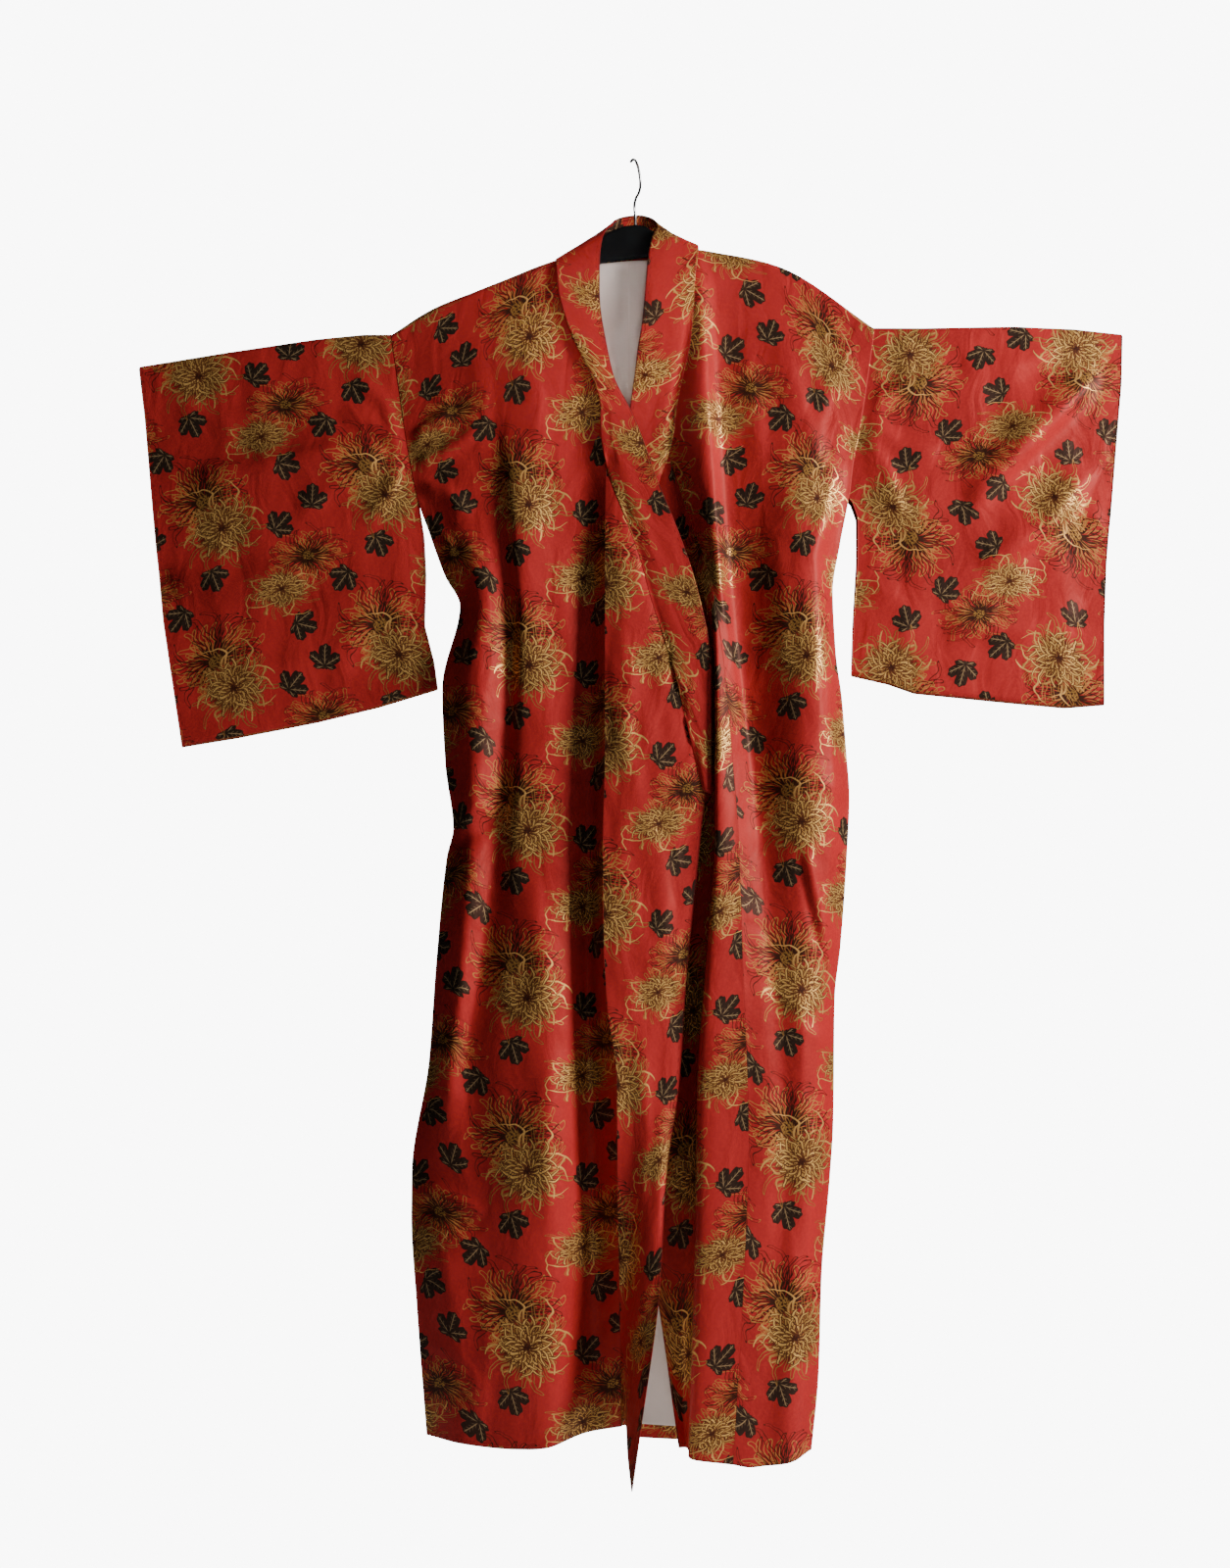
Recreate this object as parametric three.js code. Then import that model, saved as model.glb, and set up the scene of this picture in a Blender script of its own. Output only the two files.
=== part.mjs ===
// A woman's brocade kimono on a plastic hanger, in millimetres.
// X runs to the right as seen from the front, the front faces -Y, +Z is up.
// The origin is the hang point: the underside of the hook's crest.
// Left and right in the names are as seen from the front.
import * as THREE from 'three';

// ---- driving dimensions ----
const WALL = 1.8;            // brocade
const LINING_WALL = 1.2;
const COLLAR_WALL = 3;       // the band is folded, so it is thicker
const GAP = 0.3;             // between pieces at a seam
const SHOULDER_RISE = 7;     // from the guide lines' top up to the fold over the shoulder
const BACK_AT_SHOULDER = 8;  // how far behind the hanger's plane the back hangs
const BACK_AT_HEM = 30;
const SIDE_SEAM_Y = -5;      // the side seams lie a little in front of the hanger's plane
const CENTRE_X = -8;         // centre back seam
const BACK_NECK_Z = -126;    // back neck seam
const BACK_HEM_Z = -1660;
const ARMHOLE = 0.157;       // armhole and side slit, as shares of the side's height
const SLIT_END = 0.257;
const ARM_ROWS = 6;
const SLIT_ROWS = 3;
const SIDE_ROWS = 20;
const BACK_SIDE_ROWS = 9;
const RIDGE_STEPS = 4;       // over the shoulder
const SEAM_CELLS = 2;        // of an overlap strip beside its seam
const WIRE = 3.5;            // hook wire
const HANGER_DEPTH = 7;
const HANGER_ROUND = 2;      // rounding of the hanger's edges
const HANGER_CLEAR = 1.1;    // under the fold of the cloth, which is faceted
const LINING_UP = 22;        // the lining stops this far above the hem
const LINING_INSET = 2;      // columns left free at each side seam
const NECK_DROP = 8;         // the back's top edge lies this far under the neck seam
const NECK_ROWS = 2;         // rows over which the back neck slopes in to the centre seam
const SIDE_EASE = 45;        // width over which the back eases out from a side edge
const FOLD_FADE = 4;         // the back's folds are full after a quarter of its height

// ---- guide lines ----
// Each line runs down the cloth: a row is [z, x, y]. Cloth is lofted from line to line.
const leftFront = [
  { name: 'side edge', cells: 3, route: [
    [-247, -322, -6], [-458, -286, -10], [-508, -269, -9], [-565, -248, -6], [-605, -228, -6],
    [-713, -250, -6], [-813, -245, -6], [-897, -234, -6], [-933, -242, -6], [-1067, -254, -6],
    [-1192, -262, -6], [-1330, -282, -6], [-1379, -282, -6], [-1494, -274, -6], [-1650, -260, -6]] },
  { name: 'side roll', cells: 2, route: [
    [-220, -270, -7], [-460, -238, -20], [-611, -197, -36], [-717, -203, -40], [-843, -207, -40],
    [-899, -208, -27], [-967, -212, -38], [-1090, -221, -40], [-1212, -234, -38],
    [-1345, -246, -28], [-1451, -236, -38], [-1653, -215, -42]] },
  { name: 'side valley', cells: 1, route: [
    [-199, -212, -7], [-349, -190, -18], [-509, -174, -24], [-651, -161, -26], [-798, -167, -24],
    [-924, -176, -23], [-1042, -190, -25], [-1211, -210, -32], [-1333, -200, -36],
    [-1656, -179, -50]] },
  { name: 'panel ridge', cells: 2, route: [
    [-182, -166, -7], [-351, -165, -22], [-512, -153, -38], [-653, -144, -39], [-799, -146, -36],
    [-967, -150, -36], [-1212, -164, -42], [-1450, -156, -48], [-1657, -143, -56]] },
  { name: 'panel middle', cells: 2, route: [
    [-166, -130, -8], [-350, -111, -20], [-587, -100, -30], [-799, -86, -32], [-929, -86, -34],
    [-1090, -85, -40], [-1331, -94, -48], [-1567, -96, -50], [-1655, -112, -58]] },
  { name: 'inner valley', cells: 2, route: [
    [-157, -111, -8], [-349, -72, -18], [-586, -58, -25], [-798, -58, -24], [-928, -59, -20],
    [-1090, -61, -16], [-1334, -55, -14], [-1574, -54, -12], [-1640, -60, -20]] },
  { name: 'overlap seam', cells: 0, route: [
    [-150, -98, -9], [-189, -94, -14], [-250, -75, -18], [-304, -49, -21], [-381, -38, -26],
    [-590, -40, -44], [-802, -40, -56], [-932, -42, -62], [-1043, -41, -64], [-1127, -36, -64],
    [-1210, -25, -60], [-1332, -24, -46], [-1483, -21, -25], [-1633, -19, -6]] },
];
const rightFront = [
  { name: 'side edge', cells: 3, route: [
    [-238, 315, -6], [-369, 294, -9], [-418, 284, -10], [-457, 279, -10], [-523, 266, -10],
    [-588, 256, -6], [-668, 259, -6], [-727, 266, -6], [-800, 271, -6], [-850, 274, -6],
    [-927, 270, -6], [-1047, 260, -6], [-1111, 252, -6], [-1269, 248, -6], [-1335, 243, -6],
    [-1456, 231, -6], [-1575, 226, -6], [-1668, 216, -6]] },
  { name: 'side field', cells: 4, route: [
    [-158, 200, -8], [-377, 204, -22], [-587, 212, -30], [-779, 214, -32], [-967, 214, -34],
    [-1151, 210, -36], [-1392, 204, -40], [-1674, 184, -46]] },
  { name: 'roll foot', cells: 1, route: [
    [-134, 104, -8], [-377, 111, -20], [-587, 124, -26], [-734, 138, -27], [-830, 150, -30],
    [-929, 160, -34], [-1090, 173, -40], [-1272, 183, -44], [-1450, 175, -48], [-1677, 155, -52]] },
  { name: 'roll flank', cells: 2, route: [
    [-131, 84, -9], [-329, 91, -36], [-462, 99, -46], [-592, 108, -50], [-692, 125, -42],
    [-793, 136, -38], [-905, 144, -38], [-1090, 154, -43], [-1272, 164, -48], [-1450, 155, -51],
    [-1678, 136, -54]] },
  { name: 'overlap seam', cells: 0, route: [
    [-131, 76, -9], [-167, 72, -14], [-224, 69, -16], [-262, 65, -17], [-299, 56, -18],
    [-348, 47, -18], [-384, 42, -18], [-482, 66, -24], [-564, 92, -42], [-643, 106, -53],
    [-719, 114, -54], [-818, 122, -50], [-906, 128, -49], [-1090, 133, -51], [-1271, 138, -55],
    [-1449, 131, -57], [-1674, 116, -58]] },
];
const leftOverlap = [
  { name: 'overlap ridge', cells: 2, route: [
    [-384, -37, -26], [-590, -20, -47], [-800, -14, -59], [-930, -14, -63], [-1100, -12, -64],
    [-1210, -6, -58], [-1330, -6, -53], [-1480, -10, -46], [-1626, -14, -36]] },
  { name: 'overlap field', cells: 2, route: [
    [-385, -36, -26], [-590, 4, -46], [-700, 25, -51], [-840, 40, -56], [-960, 38, -57],
    [-1100, 30, -56], [-1210, 25, -56], [-1330, 15, -62], [-1480, 6, -72], [-1600, -2, -82],
    [-1661, -11, -88]] },
  { name: 'front edge', cells: 0, route: [
    [-386, -35, -26], [-435, -29, -28], [-487, -11, -32], [-545, 10, -38], [-605, 26, -42],
    [-661, 44, -46], [-708, 56, -48], [-749, 65, -50], [-844, 88, -50], [-906, 81, -50],
    [-1090, 62, -48], [-1212, 53, -50], [-1330, 36, -62], [-1475, 26, -82], [-1613, 5, -110],
    [-1691, -7, -122]] },
];
const rightOverlap = [
  { name: 'roll crest', cells: 1, route: [
    [-386, 41, -18], [-481, 55, -21], [-561, 76, -33], [-643, 100, -53], [-720, 102, -59],
    [-907, 101, -61], [-1090, 88, -62], [-1211, 79, -62], [-1414, 75, -61], [-1556, 70, -60],
    [-1668, 66, -58]] },
  { name: 'under the roll', cells: 2, route: [
    [-387, 40.5, -18], [-481, 45, -19], [-561, 62, -24], [-643, 94, -32], [-720, 99, -33],
    [-907, 98, -32], [-1090, 85, -30], [-1211, 76, -29], [-1414, 72, -28], [-1556, 68, -27],
    [-1666, 64, -26]] },
  { name: 'inner valley', cells: 3, route: [
    [-387, 40, -18], [-481, 32, -18], [-559, 44, -18], [-636, 62, -19], [-777, 70, -18],
    [-903, 68, -16], [-1090, 60, -14], [-1213, 57, -12], [-1420, 56, -11], [-1664, 61, -13]] },
  { name: 'under edge', cells: 0, route: [
    [-388, 38, -17], [-480, 13, -16], [-584, -17, -14], [-712, -54, -12], [-789, -74, -12],
    [-839, -97, -12], [-1090, -46, -12], [-1487, 27, -14], [-1663, 52, -18]] },
];

// Soft folds down the back: x at the top and hem, half width, and depth (minus is a valley).
const backFolds = [
  { name: 'left shoulder fold', top: -215, hem: -190, width: 34, depth: 7 },
  { name: 'left valley', top: -140, hem: -120, width: 30, depth: -5 },
  { name: 'beside the seam', top: -60, hem: -70, width: 26, depth: 5 },
  { name: 'right valley', top: 60, hem: 45, width: 30, depth: -5 },
  { name: 'right shoulder fold', top: 150, hem: 125, width: 36, depth: 7 },
  { name: 'right side fold', top: 225, hem: 190, width: 24, depth: 4 },
];

// The collar band. A row is a section: the sewn edge [x, y, z] and the open edge [x, y, z].
const collarSections = [
  { place: 'left end', sewn: [84, -53, -852], open: [94, -51, -856] },
  { place: 'left front', sewn: [62, -53, -757], open: [95, -51, -781] },
  { place: 'left front', sewn: [51, -51, -708], open: [95, -51, -726] },
  { place: 'left front', sewn: [38, -49, -661], open: [95, -51, -680] },
  { place: 'left front', sewn: [20, -45, -606], open: [84, -48, -617] },
  { place: 'left front', sewn: [4, -41, -546], open: [68, -44, -556] },
  { place: 'left front', sewn: [-17, -36, -488], open: [47, -39, -496] },
  { place: 'left front', sewn: [-35, -32, -436], open: [26, -35, -442] },
  { place: 'crossing', sewn: [-45, -30, -382], open: [8, -31, -388] },
  { place: 'left breast', sewn: [-46, -27, -339], open: [-9, -27, -346] },
  { place: 'left breast', sewn: [-56, -24, -305], open: [-27, -25, -309] },
  { place: 'left breast', sewn: [-81, -21, -251], open: [-39, -22, -258] },
  { place: 'left breast', sewn: [-99, -19.5, -197], open: [-47, -19, -206] },
  { place: 'left neck', sewn: [-103, -16, -164], open: [-48, -16, -165] },
  { place: 'left neck', sewn: [-104, -12.6, -148], open: [-47, -13, -128] },
  { place: 'left neck', sewn: [-105, -8, -139], open: [-43, -9, -106] },
  { place: 'left shoulder', sewn: [-103, 0, -136.5], open: [-38, -1, -94] },
  { place: 'back left', sewn: [-98, 12.5, -140], open: [-30, 10, -81] },
  { place: 'back left', sewn: [-56, 14, -139], open: [-24, 17, -73] },
  { place: 'centre back', sewn: [-8, 14, -136], open: [-9, 20, -68] },
  { place: 'back right', sewn: [40, 14, -134], open: [11, 18, -68] },
  { place: 'back right', sewn: [74, 12.5, -126], open: [24, 11, -76] },
  { place: 'right shoulder', sewn: [82, 0, -117.5], open: [30, 0, -91] },
  { place: 'right neck', sewn: [83, -8, -120], open: [25, -9, -103] },
  { place: 'right neck', sewn: [83, -12.6, -131], open: [19, -13, -128] },
  { place: 'right breast', sewn: [78, -17, -168], open: [15, -16, -168] },
  { place: 'right breast', sewn: [75, -19, -225], open: [10, -18, -225] },
  { place: 'right breast', sewn: [71, -20, -263], open: [4, -19, -263] },
  { place: 'right breast', sewn: [62, -21, -302], open: [-1, -20, -304] },
  { place: 'crossing', sewn: [53, -21, -349], open: [-7, -20.5, -346] },
  { place: 'right, under', sewn: [48, -21, -388], open: [-13, -20.5, -388] },
  { place: 'right, under', sewn: [17, -19.5, -481], open: [-40, -19.5, -483] },
  { place: 'right, under', sewn: [-13, -17, -584], open: [-70, -17, -586] },
  { place: 'right, under', sewn: [-50, -15, -713], open: [-106, -15, -716] },
  { place: 'right end', sewn: [-92, -15, -838], open: [-137, -15, -818] },
];

// Sleeves: the four edges as [x, z] rows, and how far apart the two layers hang.
const leftSleeve = {
  top: [[-322, -247], [-360, -247], [-422, -253], [-545, -271], [-654, -289]],
  bottom: [[-257, -713], [-332, -736], [-413, -756], [-514, -776], [-586, -788]],
  furi: [[-286, -458], [-277, -514], [-274, -564], [-275, -630], [-262, -679], [-257, -713]],
  cuff: [[-654, -289], [-645, -353], [-631, -480], [-614, -626], [-586, -788]],
  fold: { from: [-330, -390], to: [-560, -440], width: 26, depth: 5 },
};
const rightSleeve = {
  top: [[315, -238], [381, -238], [501, -235], [580, -238], [643, -245]],
  bottom: [[280, -695], [327, -706], [361, -718], [489, -731], [555, -737], [606, -733]],
  furi: [[279, -457], [290, -489], [289, -548], [283, -629], [280, -695]],
  cuff: [[643, -245], [640, -307], [631, -388], [614, -548], [609, -629], [606, -733]],
  fold: { from: [600, -300], to: [430, -430], width: 28, depth: 5 },
};
const SLEEVE_CELLS = 8;
const SLEEVE_LOWER_ROWS = 6;
const SLEEVE_FULLNESS = 6;   // extra space between the layers mid-sleeve
const CUFF_OPENING = 0.48;   // share of the outer edge that is left open, from the top
const CUFF_EASE = 0.08;      // share of the edge over which the cuff closes
const CUFF_HALF = 5;         // half the space between the layers at the cuff
const FURI_HALF = 10;        // the same just under the armhole
const HEM_HALF = 1.9;        // the same at a folded hem

// Hanger: outline rows [x, z]; the top edge is made from the shoulders of the cloth.
const hangerNeck = [
  [-62, -120], [-46, -107], [-32, -97], [-14, -90], [0, -88.5], [12, -90], [26, -98], [42, -108],
  [62, -119]];
const hangerUnderside = [
  [218, -186], [171, -170], [77, -148], [19, -132], [-43, -140], [-98, -168], [-193, -207],
  [-220, -216]];
const hangerReach = { left: -222, right: 222 };
const BEVEL_STEPS = 2;

const BAND_SHARES = [0, 0.34, 0.67, 1];  // points across the collar band
const BAND_LOOK = [[0, 0], [8, 0], [-8, 0], [0, 20], [0, -20]];  // places that it has to clear
const BAND_CLEAR = 0.5;      // in front of the fronts
const BAND_FREE_Y = -9;      // behind this it isn't sewn to the fronts

// The hook lies in a plane turned away from the front: [along the plane, z].
const HOOK_TURN = THREE.MathUtils.degToRad(70);
const hookRoute = [
  [0, -88.2], [0, -76], [-3, -63], [3, -50], [15, -37], [21, -24], [17, -9], [5, 1.2],
  [-7, 0], [-17, -7]];
const HOOK_STEPS = 36;
const HOOK_SIDES = 10;

// ---- small helpers ----
const lerp = THREE.MathUtils.lerp;
const TINY = 1e-9;
const smooth = (t) => THREE.MathUtils.smoothstep(t, 0, 1);
const point = (x, y, z) => new THREE.Vector3(x, y, z);

// A smooth value through rows [key, value...], keys falling, without overshoot.
function through(rows, key, column) {
  const last = rows.length - 1;
  if (key >= rows[0][0]) return rows[0][column];
  if (key <= rows[last][0]) return rows[last][column];
  const i = rows.findIndex((row, n) => n < last && key >= rows[n + 1][0]);
  const slope = (n) => (rows[n + 1][column] - rows[n][column]) / (rows[n + 1][0] - rows[n][0]);
  const tangent = (n) => {
    if (n === 0) return slope(0);
    if (n === last) return slope(last - 1);
    const [a, b] = [slope(n - 1), slope(n)];
    return a * b <= 0 ? 0 : (2 * a * b) / (a + b);
  };
  const step = rows[i + 1][0] - rows[i][0];
  const t = (key - rows[i][0]) / step;
  const [p, q] = [rows[i][column], rows[i + 1][column]];
  return p * (1 + 2 * t) * (1 - t) ** 2 + q * t * t * (3 - 2 * t)
    + step * (tangent(i) * t * (1 - t) ** 2 - tangent(i + 1) * t * t * (1 - t));
}

// Where a guide line is at share v of its height.
function onLine(line, v) {
  const { route } = line;
  const z = lerp(route[0][0], route[route.length - 1][0], v);
  return point(through(route, z, 1), through(route, z, 2), z);
}

// One section of cloth: a smooth curve across points, with the given cells in each stretch.
function section(points, cells) {
  const curve = new THREE.CatmullRomCurve3(points, false, 'centripetal');
  const row = [];
  points.forEach((p, i) => {
    const count = i < points.length - 1 ? cells[i] : 1;
    for (let k = 0; k < count; k += 1) row.push(curve.getPoint((i + k / count) / (points.length - 1)));
  });
  return row;
}

// The unit normal at each point of a grid[row][column].
// seams says which first and last columns are sewn: their end faces are square to X.
function normals(grid, { looped = false, seams = [false, false] } = {}) {
  const rows = grid.length;
  const columns = grid[0].length;
  const rowAt = (i) => grid[looped ? (i + rows) % rows : THREE.MathUtils.clamp(i, 0, rows - 1)];
  const at = (i, j) => rowAt(i)[THREE.MathUtils.clamp(j, 0, columns - 1)];
  return grid.map((row, i) => row.map((_, j) => {
    const across = at(i, j + 1).clone().sub(at(i, j - 1));
    const along = at(i + 1, j).clone().sub(at(i - 1, j));
    const normal = across.clone().cross(along).normalize();
    if ((j === 0 && seams[0]) || (j === columns - 1 && seams[1])) {
      const square = point(1, 0, 0).cross(along).normalize();
      return square.dot(normal) < 0 ? square.negate() : square;
    }
    return normal;
  }));
}

// The same grid moved out along its normals.
function moved(grid, distance, options) {
  const out = normals(grid, options);
  return grid.map((row, i) => row.map((p, j) => p.clone().addScaledVector(out[i][j], distance)));
}

// A closed wall of the given thickness about a grid of points. flip splits its faces along
// the other diagonal, so that a mirrored sheet has the same facets as what lies on it.
function wall(grid, thickness, options = {}) {
  const { looped = false, flip = false } = options;
  const rows = grid.length;
  const columns = grid[0].length;
  const positions = [thickness / 2, -thickness / 2].flatMap((distance) => (
    moved(grid, distance, options).flat().flatMap((p) => p.toArray())));
  const front = (i, j) => (i % rows) * columns + j;
  const back = (i, j) => rows * columns + front(i, j);
  const faces = [];
  const quad = (a, b, c, d) => faces.push(...(flip ? [a, b, d, b, c, d] : [a, b, c, a, c, d]));
  const lastRow = looped ? rows : rows - 1;
  for (let i = 0; i < lastRow; i += 1) {
    for (let j = 0; j < columns - 1; j += 1) {
      quad(front(i, j), front(i, j + 1), front(i + 1, j + 1), front(i + 1, j));
      quad(back(i, j), back(i + 1, j), back(i + 1, j + 1), back(i, j + 1));
    }
    const end = columns - 1;
    quad(front(i, 0), front(i + 1, 0), back(i + 1, 0), back(i, 0));
    quad(front(i, end), back(i, end), back(i + 1, end), front(i + 1, end));
  }
  for (let j = 0; j < columns - 1 && !looped; j += 1) {
    const end = rows - 1;
    quad(front(0, j), back(0, j), back(0, j + 1), front(0, j + 1));
    quad(front(end, j), front(end, j + 1), back(end, j + 1), back(end, j));
  }
  const geometry = new THREE.BufferGeometry();
  geometry.setAttribute('position', new THREE.Float32BufferAttribute(positions, 3));
  geometry.setIndex(faces);
  return geometry;
}

// ---- body panels ----
// Shares of the side's height at which the sections are cut.
function sectionShares(slitRows, sideRows) {
  const shares = [];
  for (let k = 0; k <= ARM_ROWS; k += 1) shares.push((ARMHOLE * k) / ARM_ROWS);
  for (let k = 1; k <= slitRows; k += 1) shares.push(lerp(ARMHOLE, SLIT_END, k / slitRows));
  for (let k = 1; k <= sideRows; k += 1) shares.push(lerp(SLIT_END, 1, k / sideRows));
  return shares;
}
const frontShares = sectionShares(SLIT_ROWS, SIDE_ROWS);
const backShares = sectionShares(SLIT_ROWS - 1, BACK_SIDE_ROWS);

// The half circle of cloth over the shoulder, from the front point to the back point.
function shoulderArc(from, to) {
  const arc = [];
  for (let k = 1; k < RIDGE_STEPS; k += 1) {
    const angle = (Math.PI * k) / RIDGE_STEPS;
    const across = (1 - Math.cos(angle)) / 2;
    arc.push(from.clone().lerp(to, across).add(point(0, 0, SHOULDER_RISE * Math.sin(angle))));
  }
  return arc;
}

function backDepth(x, z) {
  const share = THREE.MathUtils.clamp((BACK_NECK_Z - z) / (BACK_NECK_Z - BACK_HEM_Z), 0, 1);
  let y = lerp(BACK_AT_SHOULDER, BACK_AT_HEM, Math.sqrt(share));
  for (const fold of backFolds) {
    const away = (x - lerp(fold.top, fold.hem, share)) / fold.width;
    y += fold.depth * Math.min(1, share * FOLD_FADE) * Math.exp(-away * away);
  }
  return y;
}

// The back of one body panel, row by row from the shoulder down.
function backRows(lines, topRow, seamSide) {
  const shoulder = topRow.map((p) => point(p.x, BACK_AT_SHOULDER, p.z));
  const inner = shoulder[shoulder.length - 1];
  const centre = CENTRE_X + (seamSide * GAP) / 2;
  const neckEnd = backShares[NECK_ROWS];
  const low = BACK_NECK_Z - NECK_DROP;
  return backShares.map((v, k) => {
    if (k === 0) return shoulder;
    const edge = onLine(lines[0], v);
    const neck = Math.min(1, k / NECK_ROWS);
    const innerX = lerp(inner.x, centre, neck);
    const innerZ = neck < 1 ? lerp(inner.z, low, neck)
      : lerp(low, BACK_HEM_Z, (v - neckEnd) / (1 - neckEnd));
    const edgeBack = v <= ARMHOLE ? -edge.y
      : lerp(-edge.y, SIDE_SEAM_Y + (WALL + GAP) / 2, smooth((v - ARMHOLE) / (SLIT_END - ARMHOLE)));
    const reach = Math.abs(innerX - edge.x);
    return topRow.map((p, j) => {
      const share = (p.x - topRow[0].x) / (inner.x - topRow[0].x);
      const x = lerp(edge.x, innerX, share);
      const z = lerp(edge.z, innerZ, share);
      if (j === 0) return point(edge.x, edgeBack, edge.z);
      const rise = smooth(Math.min(1, (share * reach) / SIDE_EASE));
      return point(x, lerp(edgeBack, backDepth(x, z), rise), z);
    });
  });
}

function bodyPanel(lines, seamSide) {
  const cells = lines.map((line) => line.cells);
  const front = frontShares.map((v, k) => {
    const points = lines.map((line) => onLine(line, v));
    if (v > SLIT_END - TINY) points[0].y = SIDE_SEAM_Y - (WALL + GAP) / 2;
    return section(points, cells).map((p, j) => (j === 0 ? points[0] : p));
  });
  const back = backRows(lines, front[0], seamSide);
  const arcs = front[0].map((p, j) => shoulderArc(p, back[0][j]));
  const ridge = arcs[0].map((_, k) => arcs.map((arc) => arc[k]));
  return { front, ridge, back, grid: [...front.toReversed(), ...ridge, ...back] };
}

// ---- overlap strips: the first line is the body panel's seam, set off by the gap ----
// They run from the foot of the armhole to the hem, and away from the seam towards direction.
function overlapStrip(bodyLines, lines, direction) {
  const seam = bodyLines[bodyLines.length - 1];
  return frontShares.filter((v) => v >= ARMHOLE - TINY).map((v) => {
    const share = (v - ARMHOLE) / (1 - ARMHOLE);
    const first = onLine(seam, v).add(point(direction * GAP, 0, 0));
    const points = [first, ...lines.map((line) => onLine(line, share))];
    return section(points, [SEAM_CELLS, ...lines.map((line) => line.cells)]);
  });
}

// ---- sleeves ----
// Where a polyline of [x, z] rows is at share t of its length.
function alongEdge(edge, t) {
  const path = new THREE.CurvePath();
  for (let i = 0; i < edge.length - 1; i += 1) {
    const [[ax, az], [bx, bz]] = [edge[i], edge[i + 1]];
    path.add(new THREE.LineCurve3(point(ax, 0, az), point(bx, 0, bz)));
  }
  return path.getPointAt(t);
}

function sleeve(lines, form) {
  const outward = Math.sign(form.cuff[0][0]);
  const inner = frontShares.slice(0, ARM_ROWS + 1).map((v) => onLine(lines[0], v));
  for (let k = 1; k <= SLEEVE_LOWER_ROWS; k += 1) {
    const down = k / SLEEVE_LOWER_ROWS;
    inner.push(alongEdge(form.furi, down).setY(lerp(-FURI_HALF, -HEM_HALF, down)));
  }
  const topZ = inner[0].z;
  const bottomZ = inner[inner.length - 1].z;
  const shares = inner.map((p) => (topZ - p.z) / (topZ - bottomZ));
  const corner = [alongEdge(form.top, 0), alongEdge(form.top, 1), alongEdge(form.bottom, 0),
    alongEdge(form.bottom, 1)];
  const layerPoint = (s, row, side) => {
    const w = shares[row];
    const out = alongEdge(form.cuff, w);
    const blend = (axis) => (1 - s) * inner[row][axis] + s * out[axis]
      + (1 - w) * alongEdge(form.top, s)[axis] + w * alongEdge(form.bottom, s)[axis]
      - (1 - s) * (1 - w) * corner[0][axis] - s * (1 - w) * corner[1][axis]
      - (1 - s) * w * corner[2][axis] - s * w * corner[3][axis];
    const [x, z] = [blend('x'), blend('z')];
    const armhole = row === 0 ? -BACK_AT_SHOULDER : inner[row].y;
    const innerHalf = side < 0 ? -inner[row].y : -armhole;
    const open = 1 - smooth((w - CUFF_OPENING) / CUFF_EASE);
    const cuffHalf = lerp((WALL + GAP) / 2, CUFF_HALF, open);
    const edgeHalf = w === 1 ? HEM_HALF : lerp(innerHalf, cuffHalf, smooth(s));
    let half = edgeHalf + SLEEVE_FULLNESS * Math.sin(Math.PI * s) * Math.sin(Math.PI * w);
    if (side < 0) {
      const [a, b] = [form.fold.from, form.fold.to];
      const line = point(b[0] - a[0], 0, b[1] - a[1]);
      const rel = point(x - a[0], 0, z - a[1]);
      const t = rel.dot(line) / line.lengthSq();
      const off = rel.clone().addScaledVector(line, -t).length() / form.fold.width;
      half += form.fold.depth * Math.max(0, 1 - (2 * t - 1) ** 2) * Math.exp(-off * off);
    }
    return point(x, side * half, z);
  };
  const lastRow = inner.length - 1;
  const stations = Array.from({ length: SLEEVE_CELLS + 1 }, (_, k) => k / SLEEVE_CELLS);
  const layer = (side) => inner.map((_, row) => stations.map((s) => layerPoint(s, row, side)));
  const [front, back] = [layer(-1), layer(1)];
  const arcs = stations.map((_, j) => {
    const spread = (back[0][j].y - front[0][j].y) / (BACK_AT_SHOULDER - front[0][0].y);
    return shoulderArc(front[0][j], back[0][j]).map((p) => {
      p.z = lerp(front[0][j].z, p.z, spread);
      return p;
    });
  });
  const hem = stations.map((_, j) => front[lastRow][j].clone().lerp(back[lastRow][j], 0.5)
    .add(point(0, 0, -HEM_HALF)));
  const ridge = arcs[0].map((_, k) => arcs.map((arc) => arc[k]));
  const rows = [...front.toReversed(), ...ridge, ...back, hem];
  rows.forEach((row) => { row[0] = row[0].clone().add(point(outward * GAP, 0, 0)); });
  return rows;
}

// ---- collar ----
const EDGE_REACH = 0.02;     // a triangle counts this share past its edges
// How far forward a sheet's grid reaches over [x, z], or null where it isn't there.
function depthOver(grid, x, z) {
  let depth = null;
  const triangle = new THREE.Triangle();
  const weights = new THREE.Vector3();
  const flat = (p) => point(p.x, 0, p.z);
  for (let i = 0; i < grid.length - 1; i += 1) {
    for (let j = 0; j < grid[0].length - 1; j += 1) {
      const [a, b, c, d] = [grid[i][j], grid[i][j + 1], grid[i + 1][j + 1], grid[i + 1][j]];
      for (const corners of [[a, b, c], [a, c, d]]) {
        triangle.set(...corners.map(flat));
        if (triangle.getBarycoord(point(x, 0, z), weights)
          && Math.min(weights.x, weights.y, weights.z) > -EDGE_REACH) {
          const y = corners[0].y * weights.x + corners[1].y * weights.y + corners[2].y * weights.z;
          depth = depth === null ? y : Math.min(depth, y);
        }
      }
    }
  }
  return depth;
}

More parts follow.
